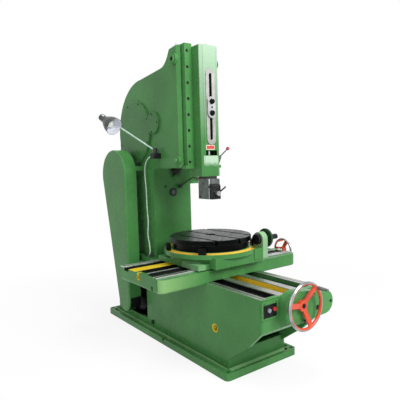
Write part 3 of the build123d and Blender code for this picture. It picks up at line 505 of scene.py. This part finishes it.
# The ram's pale front is a painted highlight, the pale patch below the window a painted reflection, and the
# black inside painted shade.
ram_green = enamel("ram_green", patches=[
    (tint(222, 242, 224), lambda t: [ram_painted_highlight(t)]),
    (tint(196, 218, 196), lambda t: [ram_painted_reflection(t)]),
    (SOOT_AND_SHADE, lambda t: [in_box(t, *ram_inside)])])
panel_black = enamel("panel_black", patches=[(SOOT_AND_SHADE, lambda t: [in_box(t, *panel_plate)])])
print("ram and panel", ram_green.name, panel_black.name)

# %% [markdown]
# ## Ground and turned metal
#
# Ways and plates are ground: thousands of fine scratches lie along one direction, and light
# smears across them. The scratches are a noise stretched sixty times along the grain, used for
# roughness and for a faint bump. Turned faces carry rings about their axis instead, so their grain
# is read from the distance to that axis. A feed screw's thread is a wave along it, as a bump.

# %% Ground steel
GRAIN_X, GRAIN_Y, GRAIN_Z = (1, 60, 60), (60, 1, 60), (60, 60, 1)
NO_GRAIN = (20, 20, 20)


def ground_steel(name, colour, grain, rough=0.30, oil=0.0, dark_spots=None, thread=None):
    finish, tree = start_finish(name)
    scratch = cloud(tree, 260.0, 2.0, grain)
    dull = scaled(colour, 0.72)
    shade = mix_colour(tree, steps(tree, cloud(tree, 14.0), 0.0, 1.0, 0.35, 0.7), colour, dull)
    shade = mix_colour(tree, steps(tree, scratch, 0.0, 0.35, 0.45, 0.65), shade, dull)
    shade = wear(tree, shade, scaled(colour, 1.3), 0.0015, 0.6)
    shade = paint_over(tree, shade, dark_spots, SOOT_AND_SHADE)
    blur = steps(tree, scratch, rough - 0.08, rough + 0.14, 0.3, 0.7)
    layers = [(scratch, 0.15, 0.0004)]
    if thread:
        axis, pitch = thread
        layers.append((wave(tree, axis_value(tree, axis), pitch), 0.7, 0.0016))
    surface(tree, {"Base Color": shade, "Metallic": 1.0, "Roughness": blur, "Normal": bumps(tree, layers),
                   "Coat Weight": oil, "Coat Roughness": 0.08})
    return finish


STEEL = tint(186, 188, 186)
plate_steel = ground_steel("plate_steel", tint(176, 174, 172), GRAIN_Z, 0.46)
bright_steel = ground_steel("bright_steel", STEEL, NO_GRAIN, 0.26)
print("ground steels", plate_steel.name, bright_steel.name)

# %% [markdown]
# Steel has dark places too: a line of oil along each bed way and along the front cross way, the
# blackened bolts on the ram clamp, the bar through the tool clamp screw and the end of the long screw.

# %% Ground steel with dark places
bolt_reach = 0.034
clamp_spots = ((-bolt_reach, 0.0165), (0.0, 0.006), (bolt_reach, 0.0165))
clamp_level = 1.458
cross_line = ((-0.52, -0.417, 0.520), (0.56, -0.408, 0.532))
screw_end = ((-0.03, -1.04, 0.38), (0.03, -0.966, 0.44))
clamp_screw_at = (-0.007, 0.0, 0.944)


def oil_lines(tree):
    return box_pair(tree, X, at=0.185, half=0.003, low=(-0.92, 0.455), high=(0.30, 0.463))


def clamp_bolts(tree):
    return [in_ring(tree, (0.0, 0.0, clamp_level + rise), Y, inner=0.0, outer=radius, low=-0.33, high=-0.29)
            for rise, radius in clamp_spots]


def clamp_screw_bar(tree):
    return [in_ring(tree, clamp_screw_at, Y, inner=0.0158, outer=0.2, low=-0.40, high=-0.20)]


way_steel_y = ground_steel("way_steel_y", tint(196, 196, 192), GRAIN_Y, 0.38, 0.2, oil_lines)
way_steel_x = ground_steel("way_steel_x", tint(214, 216, 214), GRAIN_X, 0.40, 0.2,
                           lambda t: [in_box(t, *cross_line)])
clamp_steel = ground_steel("clamp_steel", tint(182, 182, 182), GRAIN_Z, 0.42, 0.0, clamp_bolts)
disc_steel = ground_steel("disc_steel", STEEL, GRAIN_Y, 0.30, 0.0, clamp_screw_bar)
screw_steel_y = ground_steel("screw_steel_y", STEEL, GRAIN_Y, 0.30, 0.2,
                             lambda t: [in_box(t, *screw_end)], thread=(Y, 0.010))
screw_steel_x = ground_steel("screw_steel_x", STEEL, GRAIN_X, 0.30, 0.2, thread=(X, 0.008))
print("steels with dark places", way_steel_y.name, way_steel_x.name, clamp_steel.name, disc_steel.name)


# %% Turned iron
def turned_iron(name, colour, centre, along, pitch=0.0016, rough=0.36, metal=0.75, dark_spots=None):
    finish, tree = start_finish(name)
    rings = wave(tree, off_axis(tree, centre, along), pitch)
    patch = steps(tree, cloud(tree, 11.0, 4.0), 0.0, 0.55, 0.42, 0.75)
    shade = mix_colour(tree, patch, colour, scaled(colour, 2.1, 0.01))
    shade = paint_over(tree, shade, dark_spots, tint(8, 10, 10))
    shade = wear(tree, shade, tint(120, 124, 122), 0.002, 0.8)
    blur = steps(tree, cloud(tree, 40.0), rough - 0.08, rough + 0.12, 0.3, 0.7)
    normal = bumps(tree, [(rings, 0.05, 0.0003), (cloud(tree, 500.0, 2.0), 0.08, 0.0003)])
    surface(tree, {"Base Color": shade, "Metallic": metal, "Roughness": blur, "Normal": normal})
    return finish


def table_side(tree):
    return [in_ring(tree, TABLE_AT, Z, inner=0.2485, outer=0.26, low=0.600, high=0.6845),
            in_ring(tree, TABLE_AT, Z, inner=0.2330, outer=0.26, low=0.600, high=0.6555)]


table_iron = turned_iron("table_iron", tint(40, 46, 46), TABLE_AT, Z, metal=0.92, dark_spots=table_side)
disc_iron = turned_iron("disc_iron", tint(28, 62, 36), centre_of("index_disc"), X, 0.0012, 0.24, 0.1)
print("turned about", ["table axis", "index axis"])

# %% [markdown]
# ## Blackened, cast and plastic finishes
#
# Bolts, tool head and clamps are blackened by heat and oil: dark, with a dull metal shine and bright
# steel where an edge was rubbed. Hidden castings stay raw and sandy. A bearing bush is bronze in the
# wall, and its cap outside is painted over with the column, as are the bolts low on the head. Plastic
# is simpler, a dielectric with a fine moulded texture.

# %% Dark and raw metals
def dark_metal(name, colour, rough=0.42, metal=0.7, sand=700.0, wear_and_highlight=tint(150, 152, 150),
               spots=None, spot=SOOT_AND_SHADE, painted_highlights=None):
    finish, tree = start_finish(name)
    patch = steps(tree, cloud(tree, 30.0, 4.0), 0.0, 0.8, 0.40, 0.70)
    shade = mix_colour(tree, patch, colour, scaled(colour, 1.7, 0.004))
    shade = wear(tree, shade, wear_and_highlight, 0.0015, 0.7, 160.0)
    # Listed places get the same pale colour as a painted highlight.
    shade = paint_over(tree, shade, painted_highlights, wear_and_highlight)
    shine = metal
    if spots:
        painted = any_of(tree, spots(tree))
        shade = mix_colour(tree, painted, shade, spot)
        shine = times(tree, math_node(tree, "SUBTRACT", 1.0, painted), metal)
    blur = steps(tree, cloud(tree, 90.0), rough - 0.10, rough + 0.12, 0.3, 0.7)
    normal = bumps(tree, [(cloud(tree, sand, 2.0), 0.14, 0.0004)])
    surface(tree, {"Base Color": shade, "Metallic": shine, "Roughness": blur, "Normal": normal})
    return finish


BRONZE = tint(176, 132, 74)
BRONZE_WORN = tint(220, 190, 130)
black_oxide = dark_metal("black_oxide", tint(30, 31, 33))
raw_iron = dark_metal("raw_iron", tint(92, 92, 90), 0.55, 0.8, 300.0)
# Black oily metal for the table clamps. On the motor inside the bed it is partly painted shade, darkened to
# sit in the shadowed pocket.
oily_black_and_shade = dark_metal("oily_black_and_shade", tint(12, 13, 13), 0.46, 0.9, 500.0, tint(70, 72, 72))
bronze = dark_metal("bronze", BRONZE, 0.34, 1.0, 400.0, BRONZE_WORN)
grip_grey = dark_metal("grip_grey", tint(104, 106, 106), 0.40)
print("dark metals", black_oxide.name, raw_iron.name, oily_black_and_shade.name, bronze.name, grip_grey.name)

# %% Dark metals with paint or bare places
SIGHT_LEVEL = 0.937
head_neck_shade = ((-0.05, -0.32, 1.031), (0.05, -0.19, 1.05))
head_corner_highlight = ((-0.0425, -0.3125, 0.90), (-0.0376, -0.3076, 1.035))


def bolts_on_head(tree):
    return box_pair(tree, X, at=0.18, half=0.04, low=(-0.170, 1.120), high=(-0.090, 1.180))


def bearing_caps(tree):
    return box_pair(tree, X, at=0.170, half=0.0212, low=(0.0, 0.9), high=(0.6, 1.6))


def sight_glass(tree):
    return [in_ring(tree, (0.0, 0.0, SIGHT_LEVEL), Y, inner=0.0, outer=0.0165, low=0.10, high=0.20)]


bolt_black = dark_metal("bolt_black", tint(30, 31, 33), spots=bolts_on_head, spot=GREEN)
# On the tool head the dark band at the neck, under the ram, is painted shade, and the pale line down its
# left front corner is a painted highlight.
tool_grey = dark_metal("tool_grey", tint(88, 94, 91), 0.44, wear_and_highlight=tint(204, 208, 206),
                       spots=lambda t: [in_box(t, *head_neck_shade)], painted_highlights=lambda t: [in_box(t, *head_corner_highlight)])
bush_bronze = dark_metal("bush_bronze", BRONZE, 0.34, 1.0, 400.0, BRONZE_WORN, bearing_caps, GREEN)
sight_dark = dark_metal("sight_dark", tint(24, 26, 27), 0.30, 0.3, spots=sight_glass, spot=tint(58, 76, 68))
print("painted metals", bolt_black.name, tool_grey.name, bush_bronze.name, sight_dark.name)


# %% Plastics and rubber
def moulded(name, colour, rough=0.30, texture=900.0, coat=0.0, spots=None):
    finish, tree = start_finish(name)
    patch = steps(tree, cloud(tree, 45.0), 0.0, 1.0, 0.35, 0.7)
    shade = mix_colour(tree, patch, colour, scaled(colour, 0.78))
    shade = wear(tree, shade, scaled(colour, 1.25, 0.02), 0.0012, 0.4, 120.0)
    shade = paint_over(tree, shade, spots, SOOT_AND_SHADE)
    blur = steps(tree, cloud(tree, 70.0), rough - 0.06, rough + 0.10, 0.3, 0.7)
    normal = bumps(tree, [(cloud(tree, texture, 1.0), 0.10, 0.0003)])
    surface(tree, {"Base Color": shade, "Roughness": blur, "Normal": normal, "Coat Weight": coat,
                   "Coat Roughness": 0.06})
    return finish


def lamp_pivot(tree):
    return [in_ring(tree, (-0.178, 0.075, 0.0), Z, inner=0.0, outer=0.0165, low=1.19, high=1.26)]


crimson = moulded("crimson_knob", tint(176, 26, 44), 0.16, 300.0, 0.5)
grey_button = moulded("grey_button", tint(138, 146, 154), 0.26)
red_button = moulded("red_button", tint(190, 44, 50), 0.24)
mint_paint = moulded("mint_paint", tint(176, 202, 186), 0.32, 500.0, spots=lamp_pivot)
mint_rubber = moulded("mint_rubber", tint(202, 222, 208), 0.42, 700.0)
belt_rubber = moulded("belt_rubber", tint(22, 22, 22), 0.62, 500.0)
frosted = moulded("frosted_bulb", tint(240, 240, 232), 0.22, 800.0, 0.4)
lamp_lead.data.materials.append(mint_rubber)
print("moulded finishes", 7)

# %% [markdown]
# ## Finishes that change over one piece
#
# A handwheel is one casting whose rim is polished and plated on its outside, while spokes, hub and
# the inside of the rim keep an orange red enamel. The lamp shade is dark outside and white inside.
# In both a mask mixes two colours: distance to the wheel's axis for the first, and the side that a
# face shows to the lamp's axis for the second.

# %% Handwheel finish
long_rim = 0.113
cross_rim = 0.072


def wheel_finish(name, node, along, rim_from):
    finish, tree = start_finish(name)
    plated = math_node(tree, "GREATER_THAN", off_axis(tree, centre_of(node), along), rim_from)
    red = mix_colour(tree, steps(tree, cloud(tree, 18.0), 0.0, 1.0, 0.35, 0.7),
                     tint(214, 74, 40), tint(186, 52, 30))
    red = wear(tree, red, tint(236, 132, 90), 0.002, 0.5, 90.0)
    chrome = mix_colour(tree, steps(tree, cloud(tree, 30.0, 2.0), 0.0, 1.0, 0.4, 0.7),
                        tint(176, 178, 178), tint(134, 138, 138))
    shade = mix_colour(tree, plated, red, chrome)
    blur = math_node(tree, "ADD", times(tree, plated, -0.10), steps(tree, cloud(tree, 60.0), 0.28, 0.38))
    normal = bumps(tree, [(cloud(tree, 60.0, 2.0), 0.10, 0.0008)])
    surface(tree, {"Base Color": shade, "Metallic": plated, "Roughness": blur, "Normal": normal})
    return finish


long_wheel_red = wheel_finish("long_wheel_red", "long_handwheel", Y, long_rim)
cross_wheel_red = wheel_finish("cross_wheel_red", "cross_handwheel", X, cross_rim)
print("plated from", long_rim, "and", cross_rim, "m out")

# %% Shade finish
SHADE_NECK = (-0.490, 0.187, 1.431)
SHADE_ALONG = (0.257, -0.812, -0.525)


def shade_finish(name, neck, along):
    finish, tree = start_finish(name)
    away = vector_node(tree, "SUBTRACT", position(tree), neck)["Vector"]
    depth = vector_node(tree, "DOT_PRODUCT", away, along)["Value"]
    line = put(tree, "VectorMath", {0: along, "Scale": depth}, operation="SCALE").outputs["Vector"]
    spoke = vector_node(tree, "SUBTRACT", away, line)["Vector"]
    face = put(tree, "NewGeometry").outputs["Normal"]
    inward = vector_node(tree, "DOT_PRODUCT", spoke, face)["Value"]
    inside = math_node(tree, "LESS_THAN", inward, 0.0)
    outer = mix_colour(tree, steps(tree, cloud(tree, 40.0), 0.0, 1.0, 0.35, 0.7),
                       tint(44, 47, 50), tint(70, 74, 77))
    inner = mix_colour(tree, steps(tree, cloud(tree, 25.0), 0.0, 1.0, 0.35, 0.7),
                       tint(226, 229, 237), tint(212, 216, 226))
    shade = mix_colour(tree, inside, outer, inner)
    blur = steps(tree, cloud(tree, 50.0), 0.26, 0.40, 0.3, 0.7)
    normal = bumps(tree, [(cloud(tree, 400.0, 2.0), 0.08, 0.0004)])
    surface(tree, {"Base Color": shade, "Roughness": blur, "Normal": normal})
    return finish


shade_enamel = shade_finish("shade_enamel", SHADE_NECK, SHADE_ALONG)
print("shade", shade_enamel.name)

# %% [markdown]
# ## Dressing the frame
#
# Every CAD node now gets its finish. One table from finish to nodes is easier to read, and to
# change, than sixty assignments.

# %% Give each node its finish
dress = {
    casting_green: ["feed_gearbox", "guide_housing"],
    column_green: ["column_casting"],
    base_green: ["base_plate"],
    guard_green: ["belt_guard"],
    worm_highlight_green: ["worm_housing"],
    cover_shaded_green: ["crank_cover"],
    ram_green: ["ram_casting"],
    bed_green: ["bed_casting"],
    saddle_green: ["saddle_casting"],
    carriage_green: ["carriage_casting"],
    strip_green: ["keeper_strips"],
    way_steel_y: ["bed_ways"],
    way_steel_x: ["cross_ways"],
    plate_steel: ["slot_plate"],
    clamp_steel: ["ram_clamp"],
    screw_steel_y: ["long_feed_screw"],
    screw_steel_x: ["cross_feed_screw"],
    bright_steel: ["ram_screw", "worm_shaft", "pinion_shaft", "crank_pin", "cable_gland", "oil_cups"],
    disc_steel: ["tool_clamp_screw"],
    grip_grey: ["long_wheel_handle", "ram_lever_rod"],
    table_iron: ["rotary_table"],
    disc_iron: ["index_disc"],
    bolt_black: ["frame_fasteners"],
    black_oxide: ["clutch_lever_rod", "index_shaft", "keeper_bolts", "tilt_pins", "clapper", "lamp_base"],
    oily_black_and_shade: ["table_clamps", "main_motor"],
    tool_grey: ["tool_head"],
    sight_dark: ["oil_sight_glass"],
    raw_iron: ["ram_block", "rocker_arm", "crank_gear", "counter_gear", "main_pulley", "motor_pulley"],
    bronze: ["worm_wheel"],
    bush_bronze: ["shaft_bearings"],
    crimson: ["ram_lever_ball", "clutch_lever_ball"],
    panel_black: ["button_panel"],
    grey_button: ["start_button"],
    red_button: ["stop_button"],
    mint_paint: ["lamp_arm"],
    shade_enamel: ["lamp_shade"],
    frosted: ["lamp_bulb"],
    belt_rubber: ["v_belts"],
    long_wheel_red: ["long_handwheel"],
    cross_wheel_red: ["cross_handwheel"],
    mint_rubber: ["lamp_cable"],
}
for finish, names in dress.items():
    for name in names:
        slots = nodes[name].data.materials
        slots.clear()
        slots.append(finish)
bare = sorted(set(nodes) - {name for names in dress.values() for name in names})
print("dressed", sum(len(names) for names in dress.values()), "left bare", bare)

# %% [markdown]
# ## Rounded corners
#
# No casting has a knife edge: sand rounds it, and filler and paint round it more. A rounded corner
# catches a line of light, which is most of what makes a render look solid. The Bevel modifier rounds
# without touching the CAD mesh. The imported mesh is split along its sharp edges, so a Weld comes
# first. Its flat faces are cut into long thin triangles, which a bevel would fold over beside a hole,
# so a Decimate set to dissolve makes each flat face whole again. Weighted Normal last keeps the big
# faces flat in the light.

# %% Round the edges
WELD_REACH = 0.00002
FLAT_WITHIN = math.radians(0.5)
SHARP_FROM = math.radians(32.0)


def soften(piece, width):
    weld = piece.modifiers.new("weld", "WELD")
    weld.merge_threshold = WELD_REACH
    flat = piece.modifiers.new("flat", "DECIMATE")
    flat.decimate_type = "DISSOLVE"
    flat.angle_limit = FLAT_WITHIN
    bevel = piece.modifiers.new("round", "BEVEL")
    bevel.width = width
    bevel.segments = 2
    bevel.limit_method = "ANGLE"
    bevel.angle_limit = SHARP_FROM
    bevel.use_clamp_overlap = True
    bevel.miter_outer = "MITER_ARC"
    even = piece.modifiers.new("even", "WEIGHTED_NORMAL")
    even.keep_sharp = True


rounding = {
    0.003: ["base_plate", "bed_casting", "column_casting", "belt_guard", "saddle_casting",
            "carriage_casting", "guide_housing", "ram_casting"],
    0.0015: ["crank_cover", "feed_gearbox", "keeper_strips", "rotary_table", "worm_housing", "lamp_base",
             "tool_head", "clapper", "button_panel"],
    0.0008: ["slot_plate", "ram_clamp", "index_disc", "cross_ways", "bed_ways", "frame_fasteners",
             "table_clamps"],
}
for width, names in rounding.items():
    for name in names:
        soften(nodes[name], width)
print("rounded", sum(len(names) for names in rounding.values()), "nodes")

# %% [markdown]
# ## Small fittings
#
# A few pieces are too thin or too small for the CAD model: the boot that keeps the lamp lead from
# kinking, a bare red plate on the ram, plugs and screws. A turned piece is a profile spun about an
# axis, and a flat one is an outline pulled to a thickness with its edges rounded. Both are set in
# world metres and then ride on the body that carries them.

# %% Turned and flat pieces
SMOOTH_BELOW = math.radians(35)


def stand(origin, ahead, up=(0, 0, 1)):
    z = Vector(ahead).normalized()
    x = Vector(up).cross(z).normalized()
    return Matrix.Translation(origin) @ Matrix((x, z.cross(x), z)).transposed().to_4x4()


def spun(profile, around=28):
    shape = bmesh.new()
    rings = []
    for radius, level in profile:
        turns = [2 * math.pi * i / around for i in range(around if radius > 0 else 1)]
        rings.append([shape.verts.new((radius * math.cos(a), radius * math.sin(a), level)) for a in turns])
    for low, high in zip(rings, rings[1:]):
        for i in range(around):
            j = i + 1
            ring = [low[i % len(low)], low[j % len(low)], high[j % len(high)], high[i % len(high)]]
            shape.faces.new(dict.fromkeys(ring)).smooth = True
    for edge in shape.edges:
        edge.smooth = edge.calc_face_angle(0.0) < SMOOTH_BELOW
    return shape


def pulled(outline, depth, edge):
    shape = bmesh.new()
    face = shape.faces.new([shape.verts.new((x, y, 0.0)) for x, y in outline])
    grown = bmesh.ops.extrude_face_region(shape, geom=[face])["geom"]
    top = [v for v in grown if isinstance(v, bmesh.types.BMVert)]
    bmesh.ops.translate(shape, vec=(0, 0, depth), verts=top)
    rim = [e for e in shape.edges if all(v in top for v in e.verts)]
    bmesh.ops.bevel(shape, geom=rim, offset=edge, segments=2, affect="EDGES")
    return shape


def hang(shape, name, place, body, finish):
    bmesh.ops.transform(shape, matrix=place, verts=shape.verts)
    bmesh.ops.recalc_face_normals(shape, faces=shape.faces)
    data = bpy.data.meshes.new(name)
    shape.to_mesh(data)
    shape.free()
    data.materials.append(finish)
    piece = bpy.data.objects.new(name, data)
    scene.collection.objects.link(piece)
    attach(piece, body)
    return piece


print("a round of 28 sides and radius 10 mm is true to", round(10 * (1 - math.cos(math.pi / 28)), 3), "mm")

# %% [markdown]
# The boot is a tapered sleeve with ribs, so it bends more easily towards its tip. It sits where the
# lead leaves the lamp's foot and follows the lead's own droop, which is a parabola at the start of a
# quadratic curve.

# %% Boot on the lamp lead
foot_y, foot_z = cable_route[0]
boot_from = 0.0968
boot_long = 0.030
collar = 0.0105
ribs = 4
rib_pitch = 0.006
rib_deep = 0.0018
droop = 0.021
droop_over = 0.12
sleeve = [(0.0, 0.0), (collar, 0.0), (collar, 0.004)]
for i in range(ribs):
    level = 0.0045 + i * rib_pitch
    wide = 0.0090 - i * 0.0009
    slim = wide - rib_deep
    sleeve += [(wide, level), (wide, level + 0.0034), (slim, level + 0.0040), (slim, level + 0.0056)]
sleeve += [(0.0056, boot_long - 0.001), (0.0050, boot_long), (0.0, boot_long)]
boot_shape = spun(sleeve)
for v in boot_shape.verts:
    v.co.y += droop * ((boot_from + v.co.z - foot_y) / droop_over) ** 2
boot_place = stand((cable_side, boot_from, foot_z), (0, 1, 0), (0, 0, -1))
boot = hang(boot_shape, "lead_boot", boot_place, "frame", mint_rubber)
print("boot", boot_long, "m long,", len(boot.data.vertices), "points")

# %% [markdown]
# On the ram's front, under the stroke slot, a small red plate is held by four rivets. It is a plain
# enamelled sheet with rounded corners on a cream rim. An outline pulled to its thickness is enough,
# with the edge just broken so that it catches the light.

# %% Bare plate on the ram
def rounded(wide, tall, corner, per=6):
    points = []
    for i, (sx, sy) in enumerate(((1, 1), (-1, 1), (-1, -1), (1, -1))):
        for k in range(per + 1):
            a = math.pi / 2 * (i + k / per)
            points.append((sx * (wide / 2 - corner) + corner * math.cos(a),
                           sy * (tall / 2 - corner) + corner * math.sin(a)))
    return points


FORWARD = (0, -1, 0)
plate_red = moulded("plate_red", tint(206, 66, 54), 0.24, 300.0, 0.3)
cream_paint = moulded("cream_paint", tint(228, 222, 204), 0.30, 300.0)
plate_at = Vector((-0.008, -0.2900, 1.2205))
plate_corner = 0.002
sheet_edge = 0.0002
rim_thick = 0.0006
for name, wide, tall, thick, finish in (("ram_plate_rim", 0.066, 0.028, rim_thick, cream_paint),
                                        ("ram_plate", 0.058, 0.020, 0.0010, plate_red)):
    sheet = pulled(rounded(wide, tall, plate_corner), thick, sheet_edge)
    hang(sheet, name, stand(plate_at, FORWARD), "ram", finish)
dome = [(0.0, 0.0), (0.0017, 0.0), (0.0015, 0.0005), (0.0009, 0.0009), (0.0, 0.0010)]
for i, (dx, dz) in enumerate(((-0.031, -0.012), (0.031, -0.012), (-0.031, 0.012), (0.031, 0.012))):
    rivet_place = stand(plate_at + Vector((dx, -rim_thick, dz)), FORWARD)
    hang(spun(dome, around=14), "ram_plate_rivet_%d" % i, rivet_place, "ram", bright_steel)
print("plate at", [round(v, 4) for v in plate_at])

# %% [markdown]
# Plugs and set screws are turned pieces with a sunk socket. One profile, scaled to each radius, does
# for all of them: up the outside, over a small chamfer and down into the socket. The screws of the
# four bearing caps are gathered into one mesh.

# %% Plugs and set screws
def socket_screw(radius, proud):
    socket = radius * 0.50
    floor_at = -proud * 0.6
    return spun([(0.0, -proud), (radius, -proud), (radius, proud * 0.75), (radius * 0.9, proud),
                 (radius * 0.56, proud), (socket, proud * 0.9), (socket, floor_at), (0.0, floor_at)],
                around=24)


LEFT = (-1, 0, 0)
screws = [("gearbox_plug", 0.0125, 0.004, (0.133, -0.957, 0.371), FORWARD, "frame", "frame_fasteners"),
          ("tool_screw_upper", 0.0045, 0.0012, (-0.042, -0.253, 1.002), LEFT, "ram", "tool_head"),
          ("tool_screw_lower", 0.0075, 0.0030, (-0.042, -0.216, 0.923), LEFT, "ram", "tool_head"),
          ("panel_screw_left", 0.0036, 0.0010, (-0.200, -0.918, 0.4455), FORWARD, "frame", "button_panel"),
          ("panel_screw_right", 0.0036, 0.0010, (-0.119, -0.918, 0.4455), FORWARD, "frame", "button_panel")]
for name, radius, proud, spot, ahead, body, slot in screws:
    hang(socket_screw(radius, proud), name, stand(spot, ahead), body, black_oxide)
print("screws and plugs", len(screws))

# %% Screws of the bearing caps
RIGHT = (1, 0, 0)
cap_face = 0.157
cap_margin = 0.009
caps = ((0.3850, 1.3570, 0.049, 6), (0.1440, 1.4100, 0.044, 6), (0.3939, 1.1522, 0.034, 4),
        (0.4640, 1.0610, 0.034, 4))
cap_screws = bmesh.new()
for y, z, radius, count in caps:
    reach = radius - cap_margin
    for i in range(count):
        a = 2 * math.pi * (i + 0.5) / count
        one = socket_screw(0.0040, 0.0024)
        spot = (cap_face, y + reach * math.cos(a), z + reach * math.sin(a))
        bmesh.ops.transform(one, matrix=stand(spot, RIGHT), verts=one.verts)
        spare = bpy.data.meshes.new("spare")
        one.to_mesh(spare)
        one.free()
        cap_screws.from_mesh(spare)
        bpy.data.meshes.remove(spare)
hang(cap_screws, "cap_screws", Matrix(), "frame", black_oxide)
print("cap screws", sum(count for *place, count in caps))

# %% [markdown]
# The lamp shade's mouth is folded over a wire, and the oil sight has a round bezel, so both get a
# hoop: a small circle spun about an axis outside it.

# %% Rims of the shade and the oil sight
TUBE_SIDES = 12


def hoop(radius, tube, flat=1.0):
    turns = [2 * math.pi * i / TUBE_SIDES for i in range(TUBE_SIDES + 1)]
    return spun([(radius + tube * math.cos(a), tube * flat * math.sin(a)) for a in turns], around=48)


shade_axis = Vector(SHADE_ALONG).normalized()
mouth = Vector(SHADE_NECK) + shade_axis * 0.1315
sight_place = stand((0.0, 0.1475, SIGHT_LEVEL), FORWARD)
hang(hoop(0.0542, 0.0011), "shade_rim", stand(mouth, shade_axis), "shade", black_oxide)
hang(hoop(0.0215, 0.0050, 0.7), "sight_bezel", sight_place, "frame", black_oxide)
print("rims", ["shade_rim", "sight_bezel"])

# %% [markdown]
# ## Floor and light
#
# A cut-out picture stands on white. The floor is a large pale sheet that still takes the shadow:
# what the camera sees of it is mostly a plain white glow, and the rest is lit like any paint. Three
# soft lamps do the work of a studio: a large one to the right front, a broad one overhead and a weak
# one on the left, so the front reads lighter than the side.

# %% Floor
WHITE = (1, 1, 1, 1)
FLOOR_HALF = 14.0
FLOOR_DROP = 0.0006


def to_the_eye(tree):
    path = put(tree, "LightPath").outputs
    return any_of(tree, [path["Is Camera Ray"], path["Is Glossy Ray"], path["Is Transmission Ray"]])


floor_mesh = bpy.data.meshes.new("studio_floor")
grid = bmesh.new()
bmesh.ops.create_grid(grid, x_segments=8, y_segments=8, size=FLOOR_HALF)
grid.to_mesh(floor_mesh)
grid.free()
floor = bpy.data.objects.new("studio_floor", floor_mesh)
floor.location = (0, 0, -FLOOR_DROP)
scene.collection.objects.link(floor)
floor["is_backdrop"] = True
pale_floor, tree = start_finish("pale_floor")
lit = put(tree, "BsdfDiffuse", {"Color": tint(248, 248, 248)})
glow = put(tree, "Emission", {"Color": WHITE, "Strength": 1.0})
reach = off_axis(tree, (0.0, 0.0, 0.0), Z)
seen = times(tree, to_the_eye(tree), steps(tree, reach, 0.84, 1.0, 0.8, 2.6))
both = put(tree, "MixShader", {0: seen, 1: lit.outputs[0], 2: glow.outputs[0]})
put(tree, "OutputMaterial", {"Surface": both.outputs[0]})
floor_mesh.materials.append(pale_floor)
print("floor", floor.name)


# %% Light
def soft_lamp(name, place, aim, size, watts):
    data = bpy.data.lights.new(name, "AREA")
    data.shape = "DISK"
    data.size = size
    data.energy = watts
    lamp = bpy.data.objects.new(name, data)
    lamp.location = place
    lamp.rotation_euler = (Vector(aim) - Vector(place)).to_track_quat("-Z", "Y").to_euler()
    scene.collection.objects.link(lamp)


soft_lamp("key", (0.5, -3.8, 3.1), (0, 0, 0.9), 1.8, 150)
soft_lamp("overhead", (-0.4, -0.6, 4.6), (0, -0.2, 0.6), 3.2, 70)
soft_lamp("left_fill", (-4.4, -1.2, 2.2), (0, 0, 0.9), 3.0, 24)
world = bpy.data.worlds.new("studio")
scene.world = world
world.use_nodes = True
tree = world.node_tree
tree.nodes.clear()
soft = put(tree, "Background", {"Color": WHITE, "Strength": 0.42})
white = put(tree, "Background", {"Color": WHITE, "Strength": 1.0})
both = put(tree, "MixShader", {0: to_the_eye(tree), 1: soft.outputs[0], 2: white.outputs[0]})
put(tree, "OutputWorld", {"Surface": both.outputs[0]})
print("lamps", len(bpy.data.lights))

# %% [markdown]
# ## Keeping the size
#
# The dressed machine's box is measured against the box of the CAD model.

# %% Measure how far the box grew
dressed_box = [list(corner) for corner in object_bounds()]
grown = [round(abs(a - b), 5) for one, two in zip(cad_box, dressed_box) for a, b in zip(one, two)]
print("grown by", grown)
